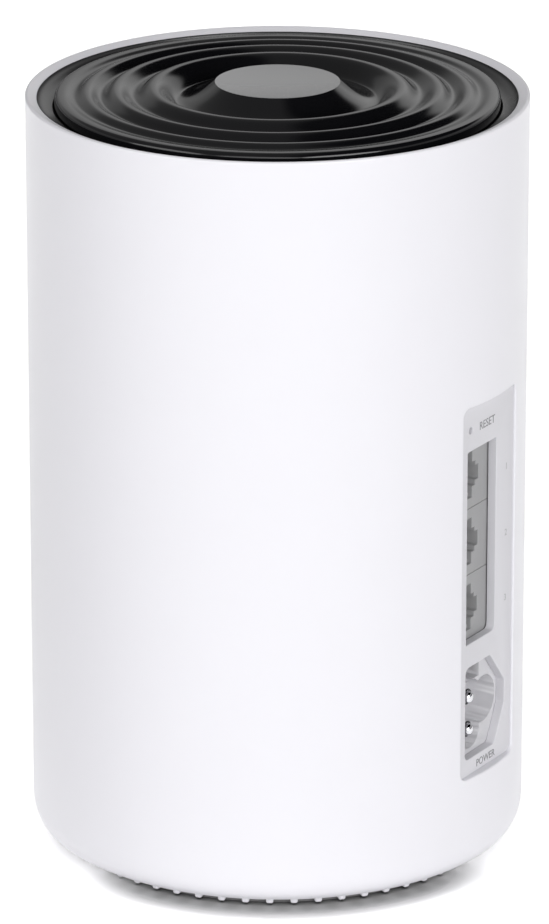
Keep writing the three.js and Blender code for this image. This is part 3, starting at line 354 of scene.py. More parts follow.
finishes = {
    "whiteShell": {"colour": (0.86, 0.852, 0.895), "colourTo": (0.872, 0.864, 0.908), "roughness": 0.3,
                   "grainScale": 4200, "bump": 0.06},
    "whiteRib": {"colour": (0.86, 0.852, 0.895), "colourTo": (0.872, 0.864, 0.908), "roughness": 0.38,
                 "grainScale": 4200, "bump": 0.06},
    "palePanel": {"colour": (0.7, 0.693, 0.728), "colourTo": (0.72, 0.713, 0.748), "roughness": 0.45,
                  "grainScale": 3800, "bump": 0.12},
    "capGloss": {"colour": (0.004, 0.004, 0.005), "colourTo": (0.006, 0.006, 0.007), "roughness": 0.12,
                 "roughnessSwing": 0.01},
    "capDisc": {"colour": (0.32, 0.32, 0.326), "colourTo": (0.34, 0.34, 0.346), "roughness": 0.23,
                "roughnessSwing": 0.015, "bump": 0.03, "grainScale": 5000, "ior": 1.8, "metallic": 0.5},
    "collarBlack": {"colour": (0.03, 0.03, 0.031), "colourTo": (0.036, 0.036, 0.037), "roughness": 0.28,
                    "bump": 0.05},
    "footRubber": {"colour": (0.16, 0.16, 0.163), "colourTo": (0.19, 0.19, 0.194), "roughness": 0.8,
                   "bump": 0.3, "grainScale": 1800},
    "basePlastic": {"colour": (0.012, 0.012, 0.013), "colourTo": (0.02, 0.02, 0.021), "roughness": 0.55,
                    "bump": 0.3, "grainScale": 2200},
    "framePlastic": {"colour": (0.42, 0.42, 0.43), "colourTo": (0.48, 0.48, 0.49), "roughness": 0.6,
                     "bump": 0.2},
    "socketPlastic": {"colour": (0.35, 0.35, 0.356), "colourTo": (0.38, 0.38, 0.386), "roughness": 0.5,
                      "bump": 0.12},
    "inletPlastic": {"colour": (0.62, 0.615, 0.64), "colourTo": (0.65, 0.645, 0.67), "roughness": 0.45,
                     "bump": 0.1},
    "pinPlating": {"colour": (0.6, 0.6, 0.62), "colourTo": (0.68, 0.68, 0.7), "roughness": 0.08,
                   "metallic": 1, "roughnessSwing": 0.03},
    "contactGold": {"colour": (0.78, 0.56, 0.22), "colourTo": (0.86, 0.64, 0.28), "roughness": 0.25,
                    "metallic": 1},
    "screwSteel": {"colour": (0.42, 0.42, 0.44), "colourTo": (0.5, 0.5, 0.52), "roughness": 0.3,
                   "metallic": 1, "cloudScale": 400},
    "sinkAluminium": {"colour": (0.62, 0.63, 0.65), "colourTo": (0.7, 0.71, 0.73), "roughness": 0.38,
                      "metallic": 1, "cloudScale": 200, "bump": 0.1},
    "boardGreen": {"colour": (0.008, 0.09, 0.04), "colourTo": (0.015, 0.13, 0.06), "roughness": 0.4,
                   "cloudScale": 300, "bump": 0.2, "grainScale": 1500},
    "chipBlack": {"colour": (0.012, 0.012, 0.014), "colourTo": (0.02, 0.02, 0.022), "roughness": 0.5,
                  "bump": 0.2},
    "shieldTin": {"colour": (0.6, 0.6, 0.62), "colourTo": (0.7, 0.7, 0.72), "roughness": 0.28,
                  "metallic": 1, "cloudScale": 150, "bump": 0.08},
    "padSilicone": {"colour": (0.28, 0.36, 0.44), "colourTo": (0.32, 0.4, 0.48), "roughness": 0.85,
                    "bump": 0.3},
    "ferrite": {"colour": (0.035, 0.035, 0.037), "colourTo": (0.06, 0.06, 0.062), "roughness": 0.7,
                "bump": 0.4, "grainScale": 1500},
    "filmYellow": {"colour": (0.55, 0.33, 0.02), "colourTo": (0.62, 0.38, 0.03), "roughness": 0.45,
                   "bump": 0.1},
    "fuseGlass": {"colour": (0.72, 0.76, 0.78), "colourTo": (0.78, 0.82, 0.84), "roughness": 0.12},
    "canBlue": {"colour": (0.012, 0.022, 0.07), "colourTo": (0.016, 0.03, 0.09), "roughness": 0.35},
    "labelGrey": {"colour": (0.24, 0.24, 0.25), "colourTo": (0.28, 0.28, 0.29), "roughness": 0.6},
    "numberGrey": {"colour": (0.48, 0.48, 0.49), "colourTo": (0.5, 0.5, 0.51), "roughness": 0.6},
}
made = {name: makeFinish(name, spec) for name, spec in finishes.items()}
print("finishes made:", len(made))


# Sleeve

sleeve = {
    "radius": 0.062,
    "wall": 0.0024,
    "top": 0.1934,
    "foot": 0.0036,
    "rimWidth": 0.0029,
    "rimHeight": 0.0015,
    "rimFall": 0.0008,  # inner edge below the outer one
    "rimOuterRound": 0.0006,
    "rimInnerRound": 0.0002,
    "curlRise": 0.0068,
    "curlInset": 0.0042,
    "curlEnd": -84,  # degrees of the quarter ellipse that the curl takes
    "lipRound": 0.0006,
    "windowHalf": 0.01295,
    "windowLow": 0.028,
    "windowHigh": 0.1249,
    "windowRound": 0.0022,
    "windowEdge": 0.0004,  # rounding of the window's edge
    "patchMargin": 0.006,  # fine mesh round the window
    "patchOuterShares": (0.75, 0.5, 0.25, 0.08),  # rings between the window's edge, 0, and the patch's, 1
    "patchInnerShares": (0.3, 0.65),
    "restSteps": 300,
    "sideSteps": 48,
    "endSteps": 16,
    "cornerSteps": 12,
    "edgeSteps": 5,
    "upperSteps": 11,
    "rimOuterSteps": 12,
    "rimInnerSteps": 6,
    "curlSteps": 20,
    "lipSteps": 8,
}


# The window's loop in (right, up), counter-clockwise from the lower left and grown by a margin: each
# corner is an arc, and the points of the straight runs between the arcs are spread evenly.
def windowLoop(spec, grow):
    half, low, high = spec["windowHalf"] + grow, spec["windowLow"] - grow, spec["windowHigh"] + grow
    r, steps = spec["windowRound"] + grow, spec["cornerSteps"]
    middles = rectangle(-half + r, low + r, half - r, high - r)
    starts = (180, 270, 0, 90)
    corners = [arc(x, y, r, r, start, start + 90, steps) for (x, y), start in zip(middles, starts)]
    loop = []
    for i, corner in enumerate(corners):
        runSteps = spec["endSteps"] if i % 2 == 0 else spec["sideSteps"]
        share = np.linspace(0, 1, runSteps + 1)[1:-1, None]
        start, end = corner[-1], corners[(i + 1) % len(corners)][0]
        loop += [corner, start + (end - start) * share]
    return np.vstack(loop)


# The same count of points on the rectangle round the window: the first half of each corner's arc moves
# onto the side before the corner and the second half onto the side after it.
def patchLoop(spec):
    margin = spec["patchMargin"]
    half, low, high = spec["windowHalf"] + margin, spec["windowLow"] - margin, spec["windowHigh"] + margin
    steps, middle = spec["cornerSteps"], spec["cornerSteps"] // 2
    loop = windowLoop(spec, margin)
    starts = np.cumsum([0, steps + spec["endSteps"], steps + spec["sideSteps"], steps + spec["endSteps"]])
    sides = np.array([((0, 1), (1, 0)), ((-1, 0), (0, 1)), ((0, -1), (-1, 0)), ((1, 0), (0, -1))])
    away = np.linspace(spec["windowRound"] + margin, 0, middle + 1)[:, None]
    for start, place, (before, after) in zip(starts, np.array(rectangle(-half, low, half, high)), sides):
        loop[start:start + middle + 1] = place + away * before
        loop[start + middle:start + steps + 1] = place + away[::-1] * after
    return loop


# Lays a loop of (right, up) on a cylinder: sin(turn) = right / across, x = -r sin(turn), y = r cos(turn).
def onSleeve(loop, radius, across):
    turn = np.arcsin(loop[:, 0] / across)
    return np.stack([-radius * np.sin(turn), radius * np.cos(turn), loop[:, 1]], -1)


# Turned bands above and below the window's patch, cylinders beside it, and in the patch rings that lead
# from its outer edge over the window's quarter-circle edge to its inner edge.
def makeSleeve(spec):
    outer, bore = spec["radius"], spec["radius"] - spec["wall"]
    low, high = spec["windowLow"] - spec["patchMargin"], spec["windowHigh"] + spec["patchMargin"]
    rimInner, rimBottom = outer - spec["rimWidth"], spec["top"] - spec["rimHeight"]
    outerRound, innerRound = spec["rimOuterRound"], spec["rimInnerRound"]
    # the rim's sloping top touches both roundings, so its normal's angle comes from their middles and radii
    run = spec["rimWidth"] - outerRound - innerRound
    fall = spec["rimFall"] - outerRound + innerRound
    lean = math.atan2(fall, run) + math.acos((innerRound - outerRound) / math.hypot(run, fall))
    slope = math.degrees(lean)
    levels = np.linspace(high, spec["top"] - outerRound, spec["upperSteps"] + 1)[:-1]
    upper = np.vstack([
        np.stack([np.full_like(levels, outer), levels], -1),
        arc(outer - outerRound, spec["top"] - outerRound, outerRound, outerRound, 0, slope,
            spec["rimOuterSteps"]),
        arc(rimInner + innerRound, spec["top"] - spec["rimFall"] - innerRound, innerRound, innerRound,
            slope, 180, spec["rimInnerSteps"]),
        [[rimInner, rimBottom], [bore, rimBottom], [bore, high]],
    ])
    # lower edge: a quarter ellipse outside, the same inside, joined by a small round lip
    curlTop = spec["foot"] + spec["curlRise"]
    outerCurl = arc(outer - spec["curlInset"], curlTop, spec["curlInset"], spec["curlRise"],
                    0, spec["curlEnd"], spec["curlSteps"])
    lip = arc(outerCurl[-1][0] - spec["wall"] / 2, outerCurl[-1][1], spec["wall"] / 2, spec["lipRound"],
              0, -180, spec["lipSteps"])
    lower = np.vstack([
        [[bore, low]],
        outerCurl - [spec["wall"], 0],
        lip[::-1][1:-1],
        outerCurl[::-1],
        [[outer, (low + curlTop) / 2], [outer, low]],
    ])
    patch = patchLoop(spec)
    across = np.unique(np.round(patch[:, 0], 9))
    up = np.unique(np.round(patch[:, 1], 9))[:, None]
    patchTurn = np.arcsin(across / outer)
    rest = np.linspace(patchTurn[-1], 2 * np.pi + patchTurn[0], spec["restSteps"] + 1)
    turns = np.concatenate([patchTurn[:-1], rest[:-1]])
    points, faces = [], []

    # adds a block of points with its faces, numbered on from the points before it
    def add(block, quads):
        faces.append(quads + sum(len(p) for p in points))
        points.append(block.reshape(-1, 3))

    for profile in (upper, lower):
        r, z = profile[:, :1], profile[:, 1:]
        add(np.stack([-r * np.sin(turns), r * np.cos(turns), z + 0 * turns], -1),
            gridQuads(len(profile), len(turns), closedColumns=True))
    for radius in (outer, bore):
        add(np.stack([-radius * np.sin(rest) + 0 * up, radius * np.cos(rest) + 0 * up, up + 0 * rest], -1),
            gridQuads(len(up), len(rest)))
    edge = spec["windowEdge"]
    edgeStart, inner = windowLoop(spec, edge), windowLoop(spec, 0)
    rings = [onSleeve(patch, outer, outer)]
    for share in spec["patchOuterShares"]:
        rings.append(onSleeve(edgeStart + (patch - edgeStart) * share, outer, outer))
    for swing in np.radians(np.linspace(0, 90, spec["edgeSteps"] + 1)):
        ring = onSleeve(windowLoop(spec, edge * (1 - math.sin(swing))), outer, outer)
        ring[:, 1] -= edge * (1 - math.cos(swing))
        rings.append(ring)
    rings.append(onSleeve(inner, bore, bore))
    for share in spec["patchInnerShares"]:
        rings.append(onSleeve(inner + (patch - inner) * share, bore, bore))
    rings.append(onSleeve(patch, bore, outer))
    add(np.stack(rings), gridQuads(len(rings), len(patch), closedColumns=True))
    mesh = meshOf("sleeveSkin", np.vstack(points), np.vstack(faces))
    return linkPiece("sleeve_skin", weldAndSmooth(mesh, sharpAngle=40, gap=1e-6))


settle(makeSleeve(sleeve), "whiteShell", ["outer_shell"])
print("sleeve made")


# Cap

cap = {
    "radius": 0.0548,
    "top": 0.196,
    "discRadius": 0.0154,
    "discDish": 0.0005,  # the disc's middle below its edge
    "discGap": 0.00002,
    "turnShares": (0.4453, 0.5566, 0.6442, 0.7232, 0.7901, 0.8534, 0.9106),
    "turnDrops": (0.0047, 0.00105, 0.0032, 0.00165, 0.0035, 0.00215, 0.0031),
    "fullness": 1.25,
    "edgeInset": 0.0012,  # the outer crest rolls over the edge from here
    "edgeLand": 0.0009,  # the flat on the outer crest
    "edgeDrop": 0.0027,
    "edgeRound": 0.0013,
    "thickness": 0.0018,
    "skirtHeight": 0.0034,
    "stemTurn": 5,  # the turn that the stem hangs from, counted from the disc: the third valley
    "stemWidth": 0.0018,
    "stemBottom": 0.1853,
    "stemGap": 0.0003,
    "swingSteps": 22,
    "edgeSteps": 12,
    "discSteps": 13,
    "turnSteps": 256,
}


# Waves between crests and valleys: drop = a + (b - a) s. From a crest down it is
# s = ((1 - cos(pi t)) / 2)^fullness, and from a valley up the same turned round.
# The first ramp leaves the disc at an angle: s = sin(pi t / 2).
def capCrown(spec):
    radii = [spec["discRadius"], *(s * spec["radius"] for s in spec["turnShares"]),
             spec["radius"] - spec["edgeInset"] - spec["edgeLand"]]
    drops = [0, *spec["turnDrops"], spec["edgeDrop"]]
    t = np.linspace(0, 1, spec["swingSteps"] + 1)
    crown = []
    for i in range(len(radii) - 1):
        if i == 0:
            swing = np.sin(np.pi / 2 * t)
        elif i % 2 == 0:
            swing = ((1 - np.cos(np.pi * t)) / 2) ** spec["fullness"]
        else:
            swing = 1 - ((1 + np.cos(np.pi * t)) / 2) ** spec["fullness"]
        r = radii[i] + (radii[i + 1] - radii[i]) * t
        z = spec["top"] - drops[i] - (drops[i + 1] - drops[i]) * swing
        crown.append(np.stack([r, z], -1)[:-1])
    return np.vstack([*crown, [[radii[-1], spec["top"] - drops[-1]]]]), radii, drops


# The crown, a quarter-ellipse edge and the skirt, with an underside that runs the cap's thickness below
# the valleys and carries the stem, turned round the axis.
def makeCap(spec):
    crown, radii, drops = capCrown(spec)
    outer, inner = spec["radius"], spec["radius"] - spec["thickness"]
    edgeTop = spec["top"] - spec["edgeDrop"]
    edge = arc(outer - spec["edgeInset"], edgeTop - spec["edgeRound"], spec["edgeInset"], spec["edgeRound"],
               90, 0, spec["edgeSteps"])[1:]
    bottom = edgeTop - spec["skirtHeight"]
    valleys = range(len(radii) - 2, 0, -2)  # from the edge inwards
    under = {i: [radii[i], spec["top"] - drops[i] - spec["thickness"]] for i in valleys}
    stemInner, stemTop = radii[spec["stemTurn"]] + spec["stemGap"], under[spec["stemTurn"]][1]
    stemOuter = stemInner + spec["stemWidth"]
    stem = [[stemOuter, stemTop], [stemOuter, spec["stemBottom"]], [stemInner, spec["stemBottom"]],
            [stemInner, stemTop]]
    profile = np.vstack([
        crown,
        edge,
        [[outer, bottom], [inner, bottom], [inner, under[valleys[0]][1]]],
        *(stem if i == spec["stemTurn"] else [under[i]] for i in valleys),
        [[spec["discRadius"], spec["top"] - spec["thickness"]], [spec["discRadius"], spec["top"]]],
    ])
    return linkPiece("cap_skin", turnedMesh("capSkin", profile, spec["turnSteps"], sharpAngle=50))


# The centre is a disc of its own, a little dished: drop = dish (1 - (r / edge)^2).
def makeCapDisc(spec):
    edge = spec["discRadius"] - spec["discGap"]
    r = np.linspace(0, edge, spec["discSteps"] + 1)
    profile = np.vstack([
        np.stack([r, spec["top"] - spec["discDish"] * (1 - (r / edge) ** 2)], -1),
        [[edge, spec["top"] - spec["thickness"]], [0, spec["top"] - spec["thickness"]]],
    ])
    return linkPiece("cap_disc", turnedMesh("capDisc", profile, spec["turnSteps"], sharpAngle=50))


settle(makeCap(cap), "capGloss", ["top_cap"])
settle(makeCapDisc(cap), "capDisc")
print("cap made")


# Collar between rim and cap

collar = {
    "outer": 0.0593,
    "top": 0.19185,
    "rise": 0.0007,  # the channel's outer edge above the flange, beside the rim
    "mouth": 0.05905,
    "lip": 0.0553,  # where the channel ends beside the cap
    "lipTop": 0.1902,
    "floor": 0.185,
    "bottom": 0.1826,
    "shelfWidth": 0.0025,
    "hubOuter": 0.0469,
    "hubWidth": 0.003,
    "spokes": 12,
    "spokeWidth": 0.0016,
    "spokeEdge": 0.0002,
    "channelSteps": 20,
    "turnSteps": 256,
}


# A turned flange whose channel is a quarter ellipse, a turned hub, and spokes from the hub's middle to
# the shelf's middle, one every full turn / spokes.
def makeCollar(spec):
    edge = spec["top"] + spec["rise"]
    shelf, hubInner = spec["lip"] - spec["shelfWidth"], spec["hubOuter"] - spec["hubWidth"]
    body = np.vstack([
        [[shelf, spec["bottom"]], [spec["outer"], spec["bottom"]], [spec["outer"], spec["top"]]],
        [[spec["mouth"], spec["top"]]],
        arc(spec["lip"], edge, spec["mouth"] - spec["lip"], edge - spec["lipTop"], 0, -90,
            spec["channelSteps"]),
        [[spec["lip"], spec["floor"]], [shelf, spec["floor"]]],
    ])
    hub = rectangle(hubInner, spec["bottom"], spec["hubOuter"], spec["floor"])
    meshes = [turnedMesh("body", body, spec["turnSteps"], closed=True),
              turnedMesh("hub", hub, spec["turnSteps"], closed=True)]
    half = spec["spokeWidth"] / 2
    loop = rectangle(hubInner + spec["hubWidth"] / 2, -half, shelf + spec["shelfWidth"] / 2, half)
    for i in range(spec["spokes"]):
        spoke = thickPlate("spoke", loop, [], spec["bottom"] + spec["spokeEdge"],
                           spec["floor"] - spec["spokeEdge"], spec["spokeEdge"], edgeSteps=1)
        spoke.transform(Matrix.Rotation(2 * math.pi * i / spec["spokes"], 4, "Z"))
        meshes.append(spoke)
    return linkPiece("collar_skin", joinMeshes("collarSkin", meshes))


settle(makeCollar(collar), "collarBlack", ["vent_collar"])
print("collar made")


# Air intake ribs

intake = {
    "ribs": 56,
    "ribThickness": 0.0024,
    "ribTaper": 0.0003,  # how much narrower each flank gets towards the table
    "ribInner": 0.0524,
    "ribOuter": 0.0542,
    "ribInnerEdge": 0.0002,
    "ribOuterEdge": 0.0003,
    "ribBottom": 0.00055,
    "ribTop": 0.0118,
    "ribRound": 0.0005,
    "roundSteps": 4,
    "hoopInner": 0.054,
    "hoopOuter": 0.0593,
    "hoopBottom": 0.0107,
    "hoopTop": 0.0128,
    "turnSteps": 240,
}


# A rib's section is an upright slab that narrows downwards to rounded lower corners. It is carried
# outwards, smaller at both ends by their edges, and repeated at the turns 2 pi (i + 1/2) / ribs.
def makeIntake(spec):
    half, r = spec["ribThickness"] / 2, spec["ribRound"]
    tip = half - spec["ribTaper"]
    section = np.vstack([
        [[half, spec["ribTop"]], [-half, spec["ribTop"]]],
        arc(-tip + r, spec["ribBottom"] + r, r, r, 180, 270, spec["roundSteps"]),
        arc(tip - r, spec["ribBottom"] + r, r, r, 270, 360, spec["roundSteps"]),
    ])
    innerEdge, outerEdge = spec["ribInnerEdge"], spec["ribOuterEdge"]
    rings = []
    for radius, shrink in ((spec["ribInner"], innerEdge), (spec["ribInner"] + innerEdge, 0),
                           (spec["ribOuter"] - outerEdge, 0), (spec["ribOuter"], outerEdge)):
        ring = section.copy()
        ring[:, 0] *= 1 - shrink / half
        ring[2:, 1] += shrink  # all but the upper corners, which lie in the hoop
        rings.append(np.column_stack([np.full(len(ring), radius), ring]))
    x, y, z = np.moveaxis(np.stack(rings), -1, 0)
    turn = 2 * np.pi * (np.arange(spec["ribs"])[:, None, None] + 0.5) / spec["ribs"]
    c, s = np.cos(turn), np.sin(turn)
    copies = np.stack([x * c - y * s, x * s + y * c, z + 0 * turn], -1)
    ribs = weldAndSmooth(closedTubes("ribs", copies), sharpAngle=50)
    hoop = rectangle(spec["hoopInner"], spec["hoopBottom"], spec["hoopOuter"], spec["hoopTop"])
    meshes = [ribs, turnedMesh("hoop", hoop, spec["turnSteps"], closed=True)]
    return linkPiece("intake_skin", joinMeshes("intakeSkin", meshes))


settle(makeIntake(intake), "whiteRib", ["intake_grille"])
print("intake made")


# Foot ring and base cover

foot = {
    "outer": 0.052,
    "inner": 0.0448,
    "height": 0.001,
    "round": 0.0003,
    "roundSteps": 3,
    "tongueOuter": 0.0502,
    "tongueInner": 0.0474,
    "tongueTop": 0.0022,
    "turnSteps": 192,
}


# A flat ring with four quarter-circle corners and a tongue on top, turned round the axis.
def makeFoot(spec):
    r, steps = spec["round"], spec["roundSteps"]
    left, right, top = spec["inner"] + r, spec["outer"] - r, spec["height"] - r
    profile = np.vstack([
        arc(left, r, r, r, 180, 270, steps),
        arc(right, r, r, r, 270, 360, steps),
        arc(right, top, r, r, 0, 90, steps),
        [[spec["tongueOuter"], spec["height"]], [spec["tongueOuter"], spec["tongueTop"]],
         [spec["tongueInner"], spec["tongueTop"]], [spec["tongueInner"], spec["height"]]],
        arc(left, top, r, r, 90, 180, steps),
    ])
    return linkPiece("foot_skin", turnedMesh("footSkin", profile, spec["turnSteps"], closed=True))


settle(makeFoot(foot), "footRubber", ["foot_ring"])
print("foot made")

base = {
    "radius": 0.0523,
    "land": 0.0013,
    "grooveTop": 0.0025,
    "grooveOuter": 0.0505,
    "grooveInner": 0.0471,
    "floor": 0.002,
    "floorTop": 0.0044,
    "wall": 0.002,
    "wallTop": 0.0085,
    "edge": 0.0003,
    "screws": 4,
    "screwCircle": 0.036,
    "bossRadius": 0.0051,
    "boreRadius": 0.0031,
    "boreTop": 0.0038,
    "shankRadius": 0.0018,
    "cutBottom": -0.002,
    "screwSteps": 48,
    "turnSteps": 192,
}


# A turned dish with a groove for the foot ring's tongue. Bosses are added and stepped screw holes cut on
# the screws' circle, at the turns pi (2 i + 1) / screws.
def makeBase(spec):
    lip, inner = spec["grooveInner"] - spec["wall"], spec["radius"] - spec["wall"]
    groove = spec["grooveTop"]
    profile = [
        [0, spec["floor"]], [lip, spec["floor"]], [lip, spec["land"]], [spec["grooveInner"], spec["land"]],
        [spec["grooveInner"], groove], [spec["grooveOuter"], groove], [spec["grooveOuter"], spec["land"]],
        [spec["radius"] - spec["edge"], spec["land"]], [spec["radius"], spec["land"] + spec["edge"]],
        [spec["radius"], spec["wallTop"]], [inner, spec["wallTop"]], [inner, spec["floorTop"]],
        [0, spec["floorTop"]],
    ]
    piece = linkPiece("base_skin", turnedMesh("baseSkin", profile, spec["turnSteps"]))
    boss = rectangle(0, spec["land"], spec["bossRadius"], spec["floorTop"] - spec["edge"])
    hole = [[0, spec["cutBottom"]], [spec["boreRadius"], spec["cutBottom"]],
            [spec["boreRadius"], spec["boreTop"]], [spec["shankRadius"], spec["boreTop"]],
            [spec["shankRadius"], spec["wallTop"]], [0, spec["wallTop"]]]
    for operation, outline in (("UNION", boss), ("DIFFERENCE", hole)):
        shapes = []
        for i in range(spec["screws"]):
            turn = math.pi * (2 * i + 1) / spec["screws"]
            x, y = spec["screwCircle"] * math.cos(turn), spec["screwCircle"] * math.sin(turn)
            shape = turnedMesh("tool", outline, spec["screwSteps"])
            shape.transform(Matrix.Translation((x, y, 0)))
            shapes.append(shape)
        combine(piece, linkPiece("tool", joinMeshes("tool", shapes)), operation)
    weldAndSmooth(piece.data, sharpAngle=30)
    return piece


settle(makeBase(base), "basePlastic", ["base_cover"])
print("base made")


# Port panel

panel = {
    "half": 0.0129,
    "low": 0.02805,
    "high": 0.12485,
    "round": 0.00215,
    "face": 0.0601,
    "thickness": 0.0024,
    "edge": 0.00022,
    "cutLeft": -0.00995,
    "cutRight": 0.00435,
    "cutLow": 0.0629,
    "cutHigh": 0.1131,
    "cutRounds": (0.0004, 0.0015, 0.0004, 0.0004),
    "inletLow": 0.0324,
    "inletHigh": 0.0567,
    "inletRight": 0.00965,
    "inletUpperCorner": (0.0074, 0.0088),
    "inletLowerCorner": (0.0049, 0.0094),
    "inletRound": 0.0016,
    "pinholeX": -0.00855,
    "pinholeY": 0.1185,
    "pinholeRadius": 0.00088,
    "pinholeSides": 36,
    "flangeHalf": 0.01485,
    "flangeReach": 0.0019,
    "flangeBack": 0.05542,
    "flangeThickness": 0.0019,
    "flangeRound": 0.003,
    "flangeEdge": 0.0002,
    "frameWall": 0.0012,
    "frameEdge": 0.00005,
    "outlineSteps": 10,
    "cutSteps": 6,
    "flangeSteps": 8,
}


# The inlet's opening is a rectangle with both right corners cut off, each by its own width and height.
def inletCorners(spec):
    left, right, low, high = spec["cutLeft"], spec["inletRight"], spec["inletLow"], spec["inletHigh"]
    upperWidth, upperHeight = spec["inletUpperCorner"]
    lowerWidth, lowerHeight = spec["inletLowerCorner"]
    return [[left, low], [right - lowerWidth, low], [right, low + lowerHeight],
            [right, high - upperHeight], [right - upperWidth, high], [left, high]]


# A front plate with its openings, a frame behind it along the outline, and a flange inside the sleeve.
def makePanel(spec):
    half, low, high = spec["half"], spec["low"], spec["high"]
    outline = roundedLoop(rectangle(-half, low, half, high), spec["round"], spec["outlineSteps"])
    ports = roundedLoop(rectangle(spec["cutLeft"], spec["cutLow"], spec["cutRight"], spec["cutHigh"]),
                        spec["cutRounds"], spec["cutSteps"])
    inletCut = roundedLoop(inletCorners(spec), spec["inletRound"], spec["cutSteps"])
    pinhole = circle(spec["pinholeX"], spec["pinholeY"], spec["pinholeRadius"], spec["pinholeSides"])
    back, flangeBack = spec["face"] - spec["thickness"], spec["flangeBack"]
    front = thickPlate("front", outline, [ports, inletCut, pinhole], back, spec["face"], spec["edge"])
    wall, reach = spec["frameWall"], spec["flangeReach"]
    hollow = rectangle(-half + wall, low + wall, half - wall, high - wall)
    around = thickPlate("around", outline, [hollow], flangeBack, back, spec["frameEdge"], edgeSteps=0)
    rim = roundedLoop(rectangle(-spec["flangeHalf"], sleeve["windowLow"] - reach, spec["flangeHalf"],
                                sleeve["windowHigh"] + reach), spec["flangeRound"], spec["flangeSteps"])
    flange = thickPlate("flange", rim, [hollow], flangeBack, flangeBack + spec["flangeThickness"],
                        spec["flangeEdge"], edgeSteps=2)
    return bayPiece("panel_skin", joinMeshes("panelSkin", [front, around, flange]))


settle(makePanel(panel), "palePanel", ["port_panel"])
print("panel made")


# Network sockets

socket = {
    "middles": (0.1052, 0.088, 0.0708),
    "left": -0.0112,
    "height": 0.0164,
    "half": 0.00856,
    "face": 0.0574,
    "depth": 0.0213,
    "plugDepth": 0.0155,
    "plugLeft": -0.00965,
    "plugHeight": 0.00675,
    "plugHalf": 0.00595,
    "latchHalf": 0.0031,
    "latchHeight": 0.0015,
    "tipHalf": 0.0019,
    "tipHeight": 0.0016,
    "edge": 0.00018,
    "guideWidth": 0.0011,
    "guideDepth": 0.0009,
    "guideEdge": 0.0001,
}


# A socket lies on its side: a shell round the plug's stepped opening, which is the same above and below
# its middle, a back wall behind it, and a guide rail along each side of the plug's way.
def makeSocket(spec, number, middle):
    left, right = spec["plugLeft"], spec["plugLeft"] + spec["plugHeight"]
    latch = right + spec["latchHeight"]
    tip = latch + spec["tipHeight"]
    plugHalf, latchHalf, tipHalf = spec["plugHalf"], spec["latchHalf"], spec["tipHalf"]
    lower = [[left, -plugHalf], [right, -plugHalf], [right, -latchHalf], [latch, -latchHalf],
             [latch, -tipHalf], [tip, -tipHalf]]
    opening = lower + [[x, -y] for x, y in reversed(lower)]
    outline = rectangle(spec["left"], -spec["half"], spec["left"] + spec["height"], spec["half"])
    face, floor = spec["face"], spec["face"] - spec["plugDepth"]
    meshes = [
        thickPlate("shell", outline, [opening], floor, face, spec["edge"]),
        thickPlate("back", outline, [], face - spec["depth"], floor + spec["edge"], spec["edge"],
                   edgeSteps=1),
    ]
    width, depth = spec["guideWidth"], spec["guideDepth"]
    for low in (-plugHalf, plugHalf - depth):
        rail = rectangle(right - width, low, right, low + depth)
        meshes.append(thickPlate("rail", rail, [], floor, face - width, spec["guideEdge"], edgeSteps=1))
    return bayPiece("socket_skin_%d" % number, joinMeshes("socket", meshes), up=middle)


contact = {
    "count": 8,
    "pitch": 0.00102,
    "radius": 0.00023,
    "carrierLeft": -0.00935,
    "carrierHeight": 0.0014,
    "carrierBack": 0.0422,
    "carrierFront": 0.0464,
    "carrierDrop": 0.0003,  # how far the wires stand out of the carrier
    "carrierEdge": 0.0001,
    "run": 0.0028,
    "rise": 0.0033,
    "tip": 0.0443,
    "bend": 0.0007,
    "bendEnd": 20,  # degrees at which the bend meets the straight run to the tip
    "bendSteps": 8,
    "sides": 8,
}


# Each contact is a round wire that runs forward along the carrier, bends back and rises to its tip: a
# circle of the wire's radius carried along that path, square to it, and repeated at the pitch.
def makeContacts(spec, number, middle):
    radius, bend = spec["radius"], spec["bend"]
    root = spec["carrierLeft"] + spec["carrierHeight"] - radius
    front = spec["carrierFront"] + spec["run"] - radius
    path = np.vstack([
        [[root, spec["carrierBack"] + radius], [root, front - bend]],
        arc(root + bend, front - bend, bend, bend, 180, spec["bendEnd"], spec["bendSteps"])[1:],
        [[root + spec["rise"], spec["tip"]]],
    ])
    step = np.gradient(path, axis=0)
    step /= np.linalg.norm(step, axis=1, keepdims=True)
    t = np.linspace(0, 2 * np.pi, spec["sides"], endpoint=False)
    x = path[:, :1] - radius * np.cos(t) * step[:, 1:]
    z = path[:, 1:] + radius * np.cos(t) * step[:, :1]
    y = np.broadcast_to(radius * np.sin(t), x.shape)
    shift = spec["pitch"] * (np.arange(spec["count"]) - (spec["count"] - 1) / 2)
    wires = np.stack([x, y, z], -1) + shift[:, None, None, None] * [0, 1, 0]
    return bayPiece("contact_wires_%d" % number, closedTubes("wires", wires), up=middle, sharpAngle=50)


# The carrier is a block under the wires, as wide as their count times the pitch.
def makeCarrier(spec, number, middle):
    half = spec["pitch"] * spec["count"] / 2
    top = spec["carrierLeft"] + spec["carrierHeight"] - spec["carrierDrop"]
    mesh = thickPlate("carrier", rectangle(spec["carrierLeft"], -half, top, half), [],
                      spec["carrierBack"], spec["carrierFront"], spec["carrierEdge"], edgeSteps=1)
    return bayPiece("contact_carrier_%d" % number, mesh, up=middle)


for number, middle in enumerate(socket["middles"], 1):
    jack, wires = ["ethernet_jack_%d" % number], ["jack_contacts_%d" % number]
    settle(makeSocket(socket, number, middle), "socketPlastic", jack)
    settle(makeContacts(contact, number, middle), "contactGold", wires)
    settle(makeCarrier(contact, number, middle), "chipBlack")
print("sockets made")


# Mains inlet

